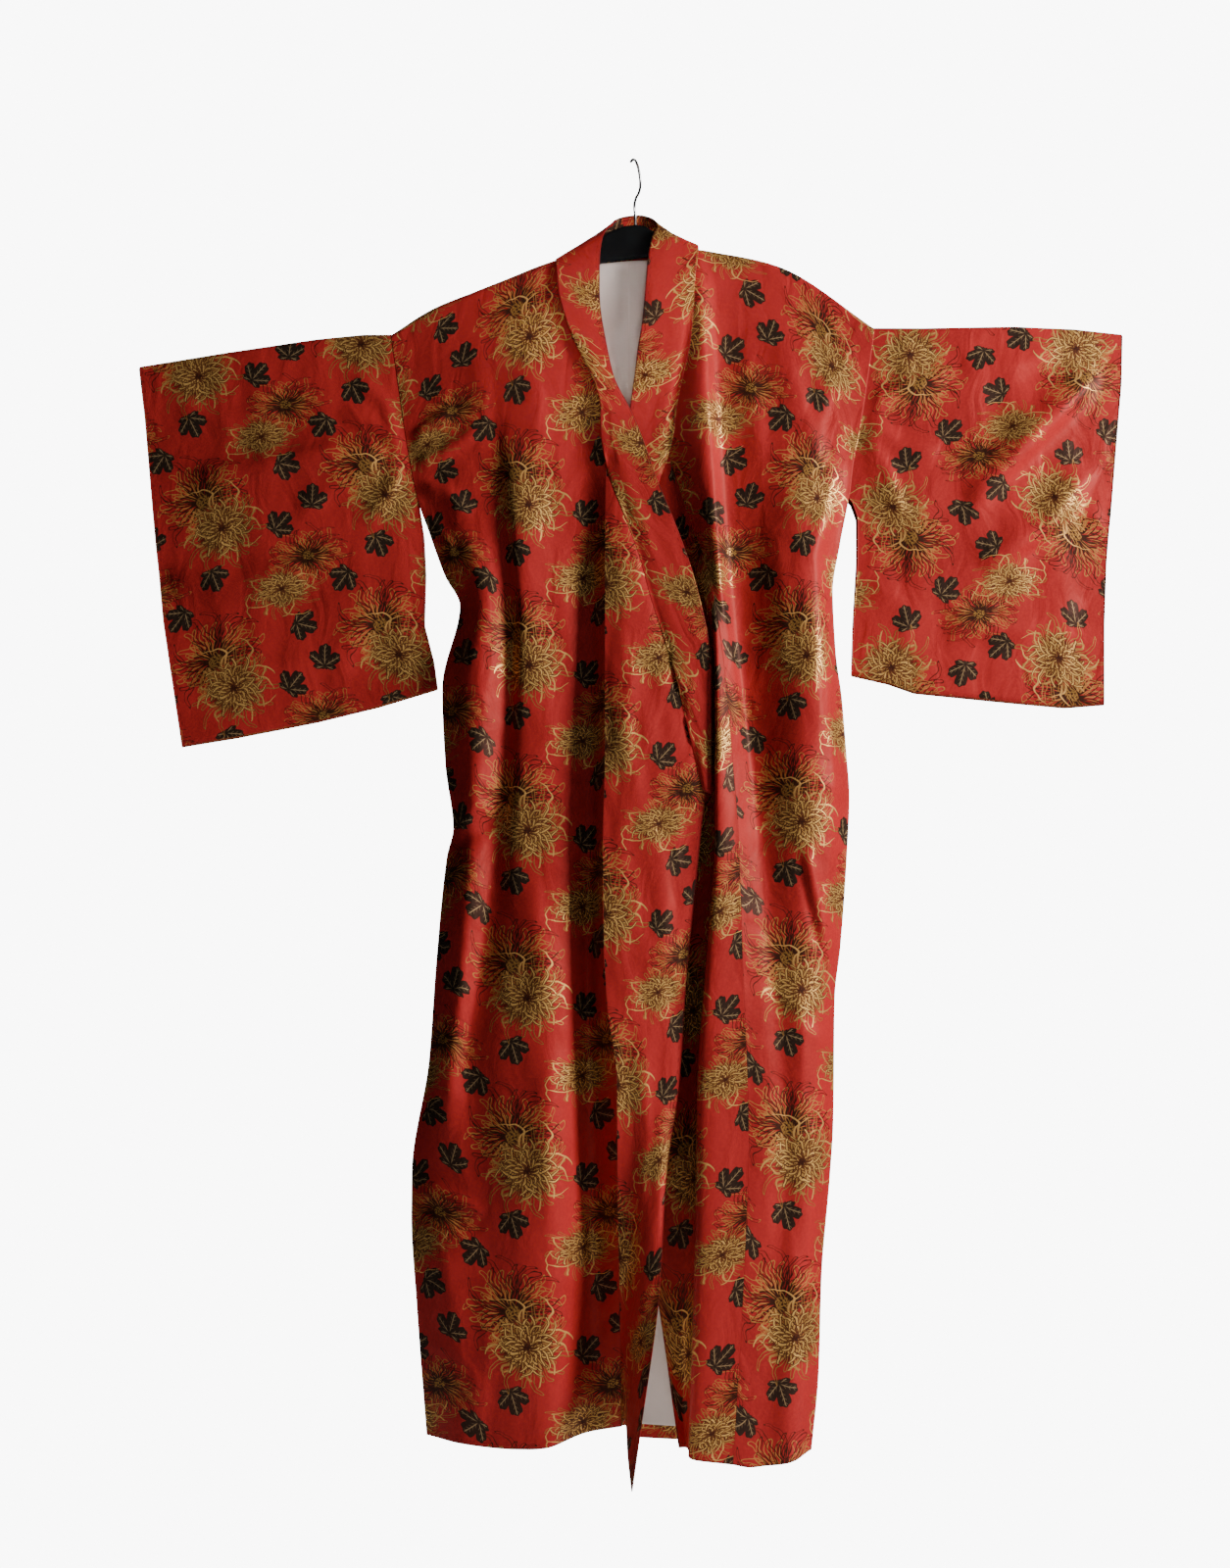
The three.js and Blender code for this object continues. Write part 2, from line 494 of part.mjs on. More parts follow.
// The band keeps its sections, and lies just in front of the fronts that it is sewn to.
function collar(leftSheets, rightSheets) {
  const lift = (WALL + COLLAR_WALL) / 2 + BAND_CLEAR;
  const middle = collarSections.findIndex(({ place }) => place === 'centre back');
  return collarSections.map(({ sewn, open }, row) => BAND_SHARES.map((t) => {
    const p = point(...sewn).lerp(point(...open), t);
    if (p.y > 0 || sewn[1] > BAND_FREE_Y) return p;
    const sheets = row < middle ? leftSheets : rightSheets;
    for (const [dx, dz] of BAND_LOOK) {
      for (const sheet of sheets) {
        const depth = depthOver(sheet, p.x + dx, p.z + dz);
        if (depth !== null) p.y = Math.min(p.y, depth - lift);
      }
    }
    return p;
  }));
}

// ---- lining: the back's points moved in, clear of the side seams and the hem ----
function backLining(left, right) {
  const rows = left.back.slice(NECK_ROWS).map((row, k) => {
    const other = right.back[k + NECK_ROWS];
    const centre = row[row.length - 1].clone().lerp(other[other.length - 1], 0.5);
    return [...row.slice(0, -1), centre, ...other.slice(0, -1).toReversed()];
  });
  const last = rows.length - 1;
  const [above, below] = [rows[last - 1][0].z, rows[last][0].z];
  const share = (BACK_HEM_Z + LINING_UP - above) / (below - above);
  rows[last] = rows[last].map((p, j) => rows[last - 1][j].clone().lerp(p, share));
  const inside = moved(rows, -((WALL + LINING_WALL) / 2 + 2 * GAP));
  return inside.map((row) => row.slice(LINING_INSET, -LINING_INSET));
}

// ---- hanger ----
function hangerBody(left, right) {
  const top = Math.floor((RIDGE_STEPS - 1) / 2);
  const seat = WALL / 2 + HANGER_CLEAR;
  const arm = (body, sign, reach) => body.ridge[top]
    .filter((p) => p.x * sign < reach)
    .map((p) => new THREE.Vector2(p.x, p.z - seat));
  const neck = hangerNeck.map(([x, z]) => new THREE.Vector2(x, z));
  const under = hangerUnderside.map(([x, z]) => new THREE.Vector2(x, z));
  const outline = [...arm(left, -1, -hangerReach.left), ...neck,
    ...arm(right, 1, hangerReach.right).toReversed(), ...under];
  const geometry = new THREE.ExtrudeGeometry(new THREE.Shape(outline), {
    depth: HANGER_DEPTH - 2 * HANGER_ROUND, bevelEnabled: true, bevelThickness: HANGER_ROUND,
    bevelSize: HANGER_ROUND, bevelOffset: -HANGER_ROUND, bevelSegments: BEVEL_STEPS,
  });
  geometry.translate(0, 0, HANGER_ROUND - HANGER_DEPTH / 2);
  return geometry.rotateX(Math.PI / 2);
}

function hook() {
  const route = hookRoute.map(([along, z]) => (
    point(along * Math.cos(HOOK_TURN), along * Math.sin(HOOK_TURN), z)));
  const wire = new THREE.Shape().absarc(0, 0, WIRE / 2, 0, 2 * Math.PI);
  return new THREE.ExtrudeGeometry(wire, {
    steps: HOOK_STEPS, curveSegments: HOOK_SIDES / 2,
    extrudePath: new THREE.CatmullRomCurve3(route),
  });
}

// ---- build ----
const kimono = new THREE.Group();
const brocade = () => new THREE.MeshStandardMaterial({
  color: 0xa8231c, roughness: 0.45, metalness: 0 });

function addNode(name, geometry, material) {
  const mesh = new THREE.Mesh(geometry, material);
  mesh.name = name;
  kimono.add(mesh);
}

const bodyLeft = bodyPanel(leftFront, -1);
const bodyRight = bodyPanel(rightFront, 1);
addNode('body_left', wall(bodyLeft.grid, WALL, { seams: [true, true] }), brocade());
addNode('body_right', wall(bodyRight.grid, WALL, { seams: [true, true], flip: true }), brocade());

const leftStrip = overlapStrip(leftFront, leftOverlap, 1);
const rightStrip = overlapStrip(rightFront, rightOverlap, -1);
addNode('okumi_left', wall(leftStrip, WALL, { seams: [true, false] }), brocade());
addNode('okumi_right', wall(rightStrip, WALL, { seams: [true, false] }), brocade());

const leftLayers = [[...bodyLeft.front.toReversed(), ...bodyLeft.ridge], leftStrip];
const rightLayers = [[...bodyRight.front.toReversed(), ...bodyRight.ridge], rightStrip];
const collarGrid = collar(leftLayers, rightLayers);
addNode('collar', wall(collarGrid, COLLAR_WALL), brocade());

addNode('sleeve_left', wall(sleeve(leftFront, leftSleeve), WALL,
  { looped: true, seams: [true, false] }), brocade());
addNode('sleeve_right', wall(sleeve(rightFront, rightSleeve), WALL,
  { looped: true, seams: [true, false] }), brocade());

addNode('lining_back', wall(backLining(bodyLeft, bodyRight), LINING_WALL),
  new THREE.MeshStandardMaterial({ color: 0xe9e4dc, roughness: 0.7, metalness: 0 }));
addNode('hanger_body', hangerBody(bodyLeft, bodyRight),
  new THREE.MeshStandardMaterial({ color: 0x14171a, roughness: 0.5, metalness: 0 }));
addNode('hanger_hook', hook(),
  new THREE.MeshStandardMaterial({ color: 0xb9bcc0, roughness: 0.3, metalness: 1 }));

export default kimono;
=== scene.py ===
"""A woman's lined brocade kimono hanging on a plastic hanger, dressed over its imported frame.

The tables are in millimetres, as in the part's source; meshes are in metres.
X runs to the right as seen from the front, the front faces -Y, and +Z is up.
Left and right in the names are as seen from the front.
"""
import math
import bpy
import numpy as np
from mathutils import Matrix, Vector
from mathutils.bvhtree import BVHTree


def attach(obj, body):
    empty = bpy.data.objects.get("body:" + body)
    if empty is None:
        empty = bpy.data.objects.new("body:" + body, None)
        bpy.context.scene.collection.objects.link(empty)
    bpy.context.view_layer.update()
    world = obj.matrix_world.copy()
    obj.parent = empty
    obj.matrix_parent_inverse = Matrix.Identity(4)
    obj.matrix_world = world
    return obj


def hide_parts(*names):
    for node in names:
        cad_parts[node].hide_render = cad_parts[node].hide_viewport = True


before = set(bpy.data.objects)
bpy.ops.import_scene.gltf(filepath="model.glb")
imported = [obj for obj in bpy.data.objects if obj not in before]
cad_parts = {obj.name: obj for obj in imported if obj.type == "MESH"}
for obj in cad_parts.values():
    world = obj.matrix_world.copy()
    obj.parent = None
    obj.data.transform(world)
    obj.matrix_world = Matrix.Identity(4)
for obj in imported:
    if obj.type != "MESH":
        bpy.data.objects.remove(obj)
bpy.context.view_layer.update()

bl_info = {
    "name": "Brocade Kimono",
    "version": (1, 0, 0),
    "blender": (4, 5, 0),
    "location": "View3D > Sidebar > Kimono",
    "description": "Makes the cloth, hanger and studio of a brocade kimono",
    "category": "Add Mesh",
}

MM = 0.001
PER_METRE = 1000
TURN = 2 * math.pi

# ---- sizes shared with the solids, in millimetres ----
GAP = 0.3
SHOULDER_RISE = 7
BACK_AT_SHOULDER = 8
BACK_AT_HEM = 30
SIDE_SEAM_Y = -5
CENTRE_X = -8
BACK_NECK_Z = -126
BACK_HEM_Z = -1660
ARMHOLE = 0.157
SLIT_END = 0.257
NECK_END = 0.0523          # share of the side at which the back neck seam ends
SOLID_WALL = 1.8
SEAM_HALF = (SOLID_WALL + GAP) / 2
CUFF_OPENING = 0.48        # share of the sleeve's depth at which its mouth is sewn shut
CUFF_HALF = 5
HEM_HALF = 1.9
SLEEVE_FULLNESS = 6
LINING_UP = 22

# ---- sizes of the cloth alone, in millimetres ----
NECK_DIP = 8               # the back neck seam under the collar
LEFT_HEM_UP = 14
EDGE_ROUNDING = 45         # how far in from its edges the back reaches its full depth
SLEEVE_LEAST_HALF = 2.2
SIDE_FORWARD = 21
CREASES_START = 190        # no creases above this, where the hanger stretches the cloth
RAY_START = -400.0         # in front of all the cloth
FAR = 500.0                # further than any mark at an edge reaches
CLOSE_ROW = 0.0009         # shares of the side and of a cell at which the close rows lie
CLOSE_COLUMN = 0.12
SLEEVE_EDGE = 0.004        # the same for the sleeves' and the collar's close columns
COLLAR_EDGE = 0.012
COLLAR_CELL = 6
COLLAR_CLEARANCE = 0.1
COLLAR_LIFT = 2.2          # how far the sewn edge stands clear where it crosses other cloth
COLLAR_RISE = 0.45         # share of the band over which it rises from its sewn edge
COLLAR_RUNS = (20, 37)     # where the weave's repeat starts on the collar
LINING_GAP = 1.0

# ---- guide lines: rows of [z, x, y] down the cloth ----
LEFT_FRONT = [
    ("side edge", 20, [
        [-247, -322, -6], [-458, -286, -10], [-508, -269, -9], [-565, -248, -6], [-605, -228, -6],
        [-713, -250, -6], [-813, -245, -6], [-897, -234, -6], [-933, -242, -6], [-1067, -254, -6],
        [-1192, -262, -6], [-1330, -282, -6], [-1379, -282, -6], [-1494, -274, -6],
        [-1650, -260, -6]]),
    ("side roll", 13, [
        [-213, -270, -7], [-460, -238, -20], [-611, -197, -36], [-717, -203, -40],
        [-843, -207, -40], [-899, -208, -27], [-967, -212, -38], [-1090, -221, -40],
        [-1212, -234, -38], [-1345, -246, -28], [-1451, -236, -38], [-1653, -215, -42]]),
    ("side valley", 8, [
        [-188, -212, -7], [-349, -190, -18], [-509, -174, -24], [-651, -161, -26],
        [-798, -167, -24], [-924, -176, -23], [-1042, -190, -25], [-1211, -210, -32],
        [-1333, -200, -36], [-1656, -179, -50]]),
    ("panel ridge", 12, [
        [-169, -166, -7], [-351, -165, -22], [-512, -153, -38], [-653, -144, -39],
        [-799, -146, -36], [-967, -150, -36], [-1212, -164, -42], [-1450, -156, -48],
        [-1657, -143, -56]]),
    ("panel middle", 10, [
        [-154, -130, -8], [-350, -111, -20], [-587, -100, -30], [-799, -86, -32], [-929, -86, -34],
        [-1090, -85, -40], [-1331, -94, -48], [-1567, -96, -50], [-1655, -112, -58]]),
    ("inner valley", 8, [
        [-147, -111, -8], [-349, -72, -18], [-586, -58, -25], [-798, -58, -24], [-928, -59, -20],
        [-1090, -61, -16], [-1334, -55, -14], [-1574, -54, -12], [-1644, -60, -20]]),
    ("overlap seam", 0, [
        [-143, -98, -9], [-189, -94, -14], [-250, -75, -18], [-304, -49, -21], [-381, -38, -26],
        [-590, -40, -44], [-802, -40, -56], [-932, -42, -62], [-1043, -41, -64], [-1127, -36, -64],
        [-1210, -25, -60], [-1332, -24, -52], [-1483, -21, -36], [-1639, -19, -12]]),
]
RIGHT_FRONT = [
    ("side edge", 26, [
        [-238, 315, -6], [-369, 294, -9], [-418, 284, -10], [-457, 279, -10], [-523, 266, -10],
        [-588, 256, -6], [-668, 259, -6], [-727, 266, -6], [-800, 271, -6], [-850, 274, -6],
        [-927, 270, -6], [-1047, 260, -6], [-1111, 252, -6], [-1269, 248, -6], [-1335, 243, -6],
        [-1456, 231, -6], [-1575, 226, -6], [-1668, 216, -6]]),
    ("side field", 22, [
        [-158, 200, -8], [-377, 204, -22], [-587, 212, -30], [-779, 214, -32], [-967, 214, -34],
        [-1151, 210, -36], [-1392, 204, -40], [-1674, 184, -46]]),
    ("roll foot", 6, [
        [-134, 104, -8], [-377, 111, -20], [-587, 124, -26], [-734, 138, -27], [-830, 150, -30],
        [-929, 160, -34], [-1090, 173, -40], [-1272, 183, -44], [-1450, 175, -48],
        [-1677, 155, -52]]),
    ("roll flank", 7, [
        [-131, 84, -9], [-329, 91, -36], [-462, 99, -46], [-592, 108, -50], [-692, 125, -42],
        [-793, 136, -38], [-905, 144, -42], [-1090, 154, -50], [-1272, 164, -54],
        [-1450, 155, -56], [-1678, 136, -57]]),
    ("overlap seam", 0, [
        [-131, 76, -9], [-167, 72, -14], [-224, 69, -16], [-262, 65, -17], [-299, 56, -18],
        [-348, 47, -18], [-384, 42, -18], [-482, 66, -24], [-564, 92, -42], [-643, 106, -53],
        [-719, 114, -54], [-818, 122, -52], [-906, 128, -54], [-1090, 133, -58],
        [-1271, 138, -60], [-1449, 131, -61], [-1674, 116, -60]]),
]
LEFT_OVERLAP = [
    ("overlap ridge", 14, [
        [-384, -37, -26], [-590, -20, -47], [-800, -14, -59], [-930, -14, -63], [-1100, -12, -64],
        [-1210, -6, -58], [-1330, -6, -53], [-1480, -10, -46], [-1626, -14, -36]]),
    ("overlap field", 14, [
        [-385, -36, -26], [-590, 4, -46], [-700, 25, -51], [-840, 40, -56], [-960, 38, -57],
        [-1100, 30, -56], [-1210, 25, -56], [-1330, 15, -62], [-1480, 6, -72], [-1600, -2, -82],
        [-1661, -11, -88]]),
    ("front edge", 0, [
        [-386, -35, -26], [-435, -29, -28], [-487, -11, -32], [-545, 10, -38], [-605, 26, -42],
        [-661, 44, -46], [-708, 56, -48], [-749, 65, -50], [-844, 88, -50], [-906, 81, -50],
        [-1090, 62, -48], [-1212, 53, -50], [-1330, 36, -62], [-1475, 26, -82], [-1613, 5, -110],
        [-1691, -7, -122]]),
]
RIGHT_OVERLAP = [
    ("roll crest", 10, [
        [-386, 41, -18], [-481, 55, -21], [-561, 76, -33], [-643, 100, -53], [-720, 102, -59],
        [-907, 101, -61], [-1090, 88, -62], [-1211, 79, -62], [-1414, 75, -61], [-1556, 70, -60],
        [-1668, 66, -58]]),
    ("under the roll", 8, [
        [-387, 40.5, -18], [-481, 45, -19], [-561, 62, -24], [-643, 94, -32], [-720, 99, -33],
        [-907, 98, -32], [-1090, 85, -30], [-1211, 76, -29], [-1414, 72, -28], [-1556, 68, -27],
        [-1666, 64, -26]]),
    ("inner valley", 16, [
        [-387, 40, -18], [-481, 32, -18], [-559, 44, -18], [-636, 62, -19], [-777, 70, -18],
        [-903, 68, -16], [-1090, 60, -14], [-1213, 57, -12], [-1420, 56, -11], [-1664, 61, -13]]),
    ("under edge", 0, [
        [-388, 38, -17], [-480, 13, -16], [-584, -17, -14], [-712, -54, -12], [-789, -74, -12],
        [-839, -97, -12], [-1090, -46, -12], [-1487, 27, -14], [-1663, 52, -18]]),
]

# Soft folds down the back: x at the top and hem, half width, and depth.
BACK_FOLDS = [
    (-215, -190, 34, 7), (-140, -120, 30, -5), (-60, -70, 26, 5), (60, 45, 30, -5),
    (150, 125, 36, 7), (225, 190, 24, 4),
]

# The collar band: the sewn edge [x, y, z] and the open edge [x, y, z] of each section.
COLLAR = [
    [84, -53, -852, 94, -51, -856], [62, -53, -757, 95, -51, -781], [51, -51, -708, 95, -51, -726],
    [38, -49, -661, 95, -51, -680], [20, -45, -606, 84, -48, -617], [4, -41, -546, 68, -44, -556],
    [-17, -36, -488, 47, -39, -496], [-35, -32, -436, 26, -35, -442],
    [-45, -30, -382, 8, -31, -388], [-46, -27, -339, -9, -27, -346],
    [-56, -24, -305, -27, -25, -309], [-81, -21, -251, -39, -22, -258],
    [-99, -19.5, -197, -47, -19, -206], [-103, -16, -164, -48, -16, -165],
    [-104, -12.6, -148, -47, -13, -128], [-105, -8, -139, -43, -9, -106],
    [-103, 0, -136.5, -38, -1, -94], [-98, 12.5, -140, -30, 10, -81],
    [-56, 14, -139, -24, 17, -73], [-8, 14, -136, -9, 20, -68], [40, 14, -134, 11, 18, -68],
    [74, 12.5, -126, 24, 11, -76], [82, 0, -117.5, 30, 0, -91], [83, -8, -120, 25, -9, -103],
    [83, -12.6, -131, 19, -13, -128], [78, -17, -168, 15, -16, -168],
    [75, -19, -225, 10, -18, -225], [71, -20, -263, 4, -19, -263], [62, -21, -302, -1, -20, -304],
    [53, -21, -349, -7, -20.5, -346], [48, -21, -388, -13, -20.5, -388],
    [17, -19.5, -481, -40, -19.5, -483], [-13, -17, -584, -70, -17, -586],
    [-50, -15, -713, -106, -15, -716], [-92, -15, -838, -137, -15, -818],
]
COLLAR_CENTRE = 19          # the section at centre back

# Sleeves: the four edges as [x, z] rows, and a soft fold across each front layer.
LEFT_SLEEVE = {
    "top": [[-322, -247], [-360, -247], [-422, -253], [-545, -271], [-654, -289]],
    "bottom": [[-257, -713], [-332, -736], [-413, -756], [-514, -776], [-586, -788]],
    "furi": [[-286, -458], [-277, -514], [-274, -564], [-275, -630], [-262, -679], [-257, -713]],
    "cuff": [[-654, -289], [-645, -353], [-631, -480], [-614, -626], [-586, -788]],
    "fold": ([-330, -390], [-560, -440], 26, 5),
}
RIGHT_SLEEVE = {
    "top": [[315, -238], [381, -238], [501, -235], [580, -238], [643, -245]],
    "bottom": [[280, -695], [327, -706], [361, -718], [489, -731], [555, -737], [606, -733]],
    "furi": [[279, -457], [290, -489], [289, -548], [283, -629], [280, -695]],
    "cuff": [[643, -245], [640, -307], [631, -388], [614, -548], [609, -629], [606, -733]],
    "fold": ([600, -300], [430, -430], 28, 5),
}

# The pattern's repeat: gold chrysanthemum A is at its origin and B at this place.
GOLD_B = (71, 98)

# Down each front, where the large gold chrysanthemums are, as [z, x].
LEFT_MOTIFS = [(-272, -140), (-485, -139), (-680, -137), (-899, -138), (-1543, -134)]
RIGHT_MOTIFS = [(-278, 259), (-479, 233), (-674, 217), (-889, 208), (-1313, 204), (-1536, 193)]

# The hook lies in a plane turned away from the front: [along the plane, z].
HOOK_TURN = math.radians(70)
HOOK_ROUTE = [
    [0, -88.2], [0, -76], [-3, -63], [3, -50], [15, -37], [21, -24], [17, -9], [5, 1.2],
    [-7, 0], [-17, -7]]

# ---- creases pressed into the cloth ----
# Each is a route of (x, z) points, the width on its two sides, and how far it stands out.
# Those of the sleeves' backs are given for the left one and mirrored for the right.
CREASES = {
    "body_left": [
        ([(-116, -900), (-116, -1200), (-108, -1620)], 28, 95, 11),
        ([(-232, -899), (-214, -880), (-192, -861)], 9, 22, 5),
        ([(-240, -925), (-205, -905), (-170, -880)], 14, 9, -4),
        ([(-279, -1341), (-234, -1355), (-187, -1377)], 7, 26, 5),
        ([(-275, -1365), (-230, -1378), (-190, -1396)], 22, 10, -4),
        ([(-113, -1661), (-72, -1607), (-52, -1560)], 8, 14, 6),
        ([(-300, -388), (-272, -367), (-241, -345)], 6, 12, 5),
        ([(-296, -417), (-253, -407), (-205, -372)], 7, 11, 5),
        ([(-290, -445), (-248, -455), (-214, -486)], 7, 14, 5),
        ([(-278, -482), (-246, -525), (-226, -600)], 8, 16, 4),
        ([(-215, -235), (-200, -330), (-205, -420)], 12, 22, 3),
        ([(-150, -240), (-128, -330), (-120, -420)], 10, 20, 3),
        ([(-205, -640), (-222, -720), (-218, -800)], 10, 16, 3),
        ([(-130, -960), (-118, -1060), (-122, -1150)], 9, 18, 3),
        ([(-100, -1180), (-112, -1290), (-104, -1400)], 8, 16, 3),
        ([(-190, -1450), (-182, -1540), (-196, -1640)], 10, 18, 3),
        ([(-250, -1060), (-240, -1140), (-252, -1230)], 9, 16, 3),
    ],
    "body_right": [
        ([(228, -838), (250, -842), (274, -843)], 5, 14, 3),
        ([(214, -925), (229, -990), (246, -1059)], 8, 15, 7),
        ([(203, -925), (216, -990), (232, -1059)], 7, 7, -4),
        ([(205, -1150), (229, -1160), (252, -1168)], 6, 14, 3),
        ([(190, -250), (215, -330), (232, -420)], 12, 22, 4),
        ([(150, -230), (152, -320), (165, -420)], 10, 18, 3),
        ([(262, -300), (240, -360), (236, -430)], 9, 16, 3),
        ([(276, -470), (246, -500), (226, -560)], 7, 14, 4),
        ([(176, -500), (188, -600), (184, -700)], 12, 22, 3),
        ([(238, -620), (230, -700), (236, -790)], 8, 14, 2.5),
        ([(196, -1080), (206, -1180), (200, -1290)], 10, 20, 3),
        ([(186, -1380), (196, -1480), (188, -1600)], 9, 18, 3),
        ([(226, -1260), (216, -1360), (222, -1450)], 8, 14, 2.5),
    ],
    "back": [
        ([(-250, -330), (-190, -380), (-120, -390)], 10, 22, 4),
        ([(250, -320), (185, -372), (120, -380)], 10, 22, 4),
        ([(-262, -470), (-215, -500), (-170, -560)], 9, 18, 4),
        ([(258, -470), (215, -505), (180, -570)], 9, 18, 4),
        ([(-205, -700), (-196, -860), (-214, -1010)], 14, 26, 4),
        ([(-110, -640), (-126, -820), (-112, -980)], 12, 24, 3.5),
        ([(40, -600), (58, -760), (48, -930)], 12, 22, 3.5),
        ([(140, -700), (126, -880), (138, -1040)], 14, 26, 4),
        ([(205, -820), (196, -960), (206, -1100)], 10, 20, 3),
        ([(-220, -1120), (-206, -1260), (-222, -1400)], 12, 24, 4),
        ([(-90, -1150), (-104, -1320), (-92, -1500)], 12, 24, 3.5),
        ([(30, -1180), (42, -1340), (34, -1500)], 12, 22, 3.5),
        ([(150, -1180), (140, -1340), (150, -1490)], 12, 24, 4),
        ([(-240, -1360), (-200, -1385), (-150, -1392)], 8, 20, 3),
    ],
    "okumi_left": [
        ([(-20, -640), (-10, -740), (-16, -840)], 10, 18, 3),
        ([(28, -900), (38, -1000), (26, -1100)], 9, 16, 3),
        ([(6, -1180), (12, -1280), (2, -1380)], 8, 14, 3),
        ([(36, -1230), (28, -1330), (22, -1420)], 7, 12, 3),
        ([(2, -1450), (-6, -1540), (-8, -1620)], 8, 12, 3),
    ],
    "sleeve_left": [
        ([(-590, -432), (-496, -419), (-394, -400), (-325, -405)], 9, 26, 10),
        ([(-302, -404), (-343, -368), (-392, -350)], 6, 14, 5),
        ([(-304, -410), (-322, -460), (-350, -500)], 7, 14, 5),
        ([(-306, -400), (-330, -335), (-372, -300)], 7, 16, 4),
        ([(-306, -412), (-380, -440), (-440, -490)], 8, 18, 4),
        ([(-620, -560), (-520, -575), (-430, -560)], 12, 26, 7),
        ([(-590, -690), (-480, -690), (-380, -665)], 12, 26, 4.5),
        ([(-600, -340), (-540, -352), (-470, -345)], 10, 22, 3),
        ([(-330, -600), (-370, -650), (-380, -710)], 10, 20, 3),
    ],
    "sleeve_right": [
        ([(612, -294), (526, -384), (436, -475)], 10, 26, 14),
        ([(592, -480), (612, -492), (628, -496)], 5, 10, 3),
        ([(300, -352), (347, -391), (400, -400)], 8, 16, 4),
        ([(298, -372), (330, -430), (350, -500)], 8, 16, 4),
        ([(300, -340), (350, -310), (410, -300)], 8, 18, 4),
        ([(600, -420), (540, -500), (450, -560)], 12, 26, 10),
        ([(590, -600), (500, -640), (400, -640)], 12, 28, 5),
        ([(320, -560), (350, -620), (345, -690)], 10, 20, 3),
        ([(560, -260), (500, -290), (430, -292)], 9, 20, 5),
    ],
    "sleeve_back": [
        ([(-300, -360), (-420, -420), (-550, -430)], 10, 28, 5),
        ([(-300, -420), (-360, -500), (-380, -600)], 9, 20, 4),
        ([(-600, -520), (-500, -580), (-400, -580)], 12, 26, 4),
        ([(-580, -680), (-470, -670), (-360, -640)], 12, 26, 3),
    ],
    "lining": [
        ([(-22, -150), (-26, -260), (-18, -400)], 8, 14, 4),
        ([(2, -150), (6, -250), (0, -360)], 7, 12, 3),
        ([(-34, -262), (-12, -268), (14, -258)], 5, 9, 2),
        ([(30, -1440), (34, -1540), (40, -1630)], 8, 14, 4),
    ],
}


# ---- cloth mathematics ----
def smooth(t):
    t = np.clip(t, 0, 1)
    return t * t * (3 - 2 * t)


def lerp(a, b, t):
    return a + (b - a) * t


def half_mm(length):
    """Half of a length in metres, in millimetres."""
    return length * PER_METRE / 2


def unit(vectors):
    return vectors / np.maximum(np.linalg.norm(vectors, axis=-1, keepdims=True), 1e-9)


def window(share, first, last):
    """Rises from 0 at share 0 and falls back to 0 at share 1; larger numbers are steeper."""
    return smooth(share * first) * smooth((1 - share) * last)


def below(z, start, reach):
    """Grows from 0 at start millimetres below the hook to 1 at reach further down."""
    return smooth((-z - start) / reach)


def through(rows, keys, column):
    """A smooth value through rows [key, value...], keys falling, without overshoot."""
    table = np.array(rows, float)
    x, y = -table[:, 0], table[:, column]
    slope = np.diff(y) / np.diff(x)
    tangent = np.empty(len(x))
    tangent[0], tangent[-1] = slope[0], slope[-1]
    a, b = slope[:-1], slope[1:]
    same = a * b > 0
    tangent[1:-1] = np.where(same, 2 * a * b / np.where(same, a + b, 1), 0)
    k = np.clip(-np.asarray(keys, float), x[0], x[-1])
    i = np.clip(np.searchsorted(x, k, side="right") - 1, 0, len(x) - 2)
    step = x[i + 1] - x[i]
    t = (k - x[i]) / step
    return (y[i] * (1 + 2 * t) * (1 - t) ** 2 + y[i + 1] * t * t * (3 - 2 * t)
            + step * (tangent[i] * t * (1 - t) ** 2 - tangent[i + 1] * t * t * (1 - t)))


def on_line(route, shares):
    """Where a guide line is at shares of its height, as points [x, y, z]."""
    z = route[0][0] + (route[-1][0] - route[0][0]) * shares
    return np.stack([through(route, z, 1), through(route, z, 2), z], axis=-1)


def across(points, counts):
    """Smooth sections across points[row, line], with counts cells in each stretch."""
    first = 2 * points[:, :1] - points[:, 1:2]
    last = 2 * points[:, -1:] - points[:, -2:-1]
    p = np.concatenate([first, points, last], axis=1)
    gap = np.maximum(np.linalg.norm(np.diff(p, axis=1), axis=2), 1e-4) ** 0.5
    out = []
    for i, count in enumerate(counts):
        p0, p1, p2, p3 = (p[:, i + k] for k in range(4))
        d0, d1, d2 = (gap[:, i + k, None] for k in range(3))
        t1 = ((p1 - p0) / d0 - (p2 - p0) / (d0 + d1) + (p2 - p1) / d1) * d1
        t2 = ((p2 - p1) / d1 - (p3 - p1) / (d1 + d2) + (p3 - p2) / d2) * d1
        for k in range(count + (i == len(counts) - 1)):
            t = k / count
            out.append((2 * t ** 3 - 3 * t * t + 1) * p1 + (t ** 3 - 2 * t * t + t) * t1
                       + (3 * t * t - 2 * t ** 3) * p2 + (t ** 3 - t * t) * t2)
    return np.stack(out, axis=1)


def running_length(points):
    """The length along a polyline from its first point to each point."""
    return np.concatenate([[0], np.cumsum(np.linalg.norm(np.diff(points, axis=0), axis=1))])


def along_edge(edge, shares):
    """Points [x, z] at shares of a polyline's length."""
    table = np.array(edge, float)
    run = running_length(table)
    at = np.asarray(shares) * run[-1]
    return np.stack([np.interp(at, run, table[:, 0]), np.interp(at, run, table[:, 1])], axis=-1)


def grid_normals(grid, looped=False):
    """Unit normals of grid[row, column]; a looped grid's last row joins its first."""
    if looped:
        rows = np.concatenate([grid[-1:], grid, grid[:1]])
        down = rows[2:] - rows[:-2]
    else:
        down = np.gradient(grid, axis=0)
    return unit(np.cross(np.gradient(grid, axis=1), down))


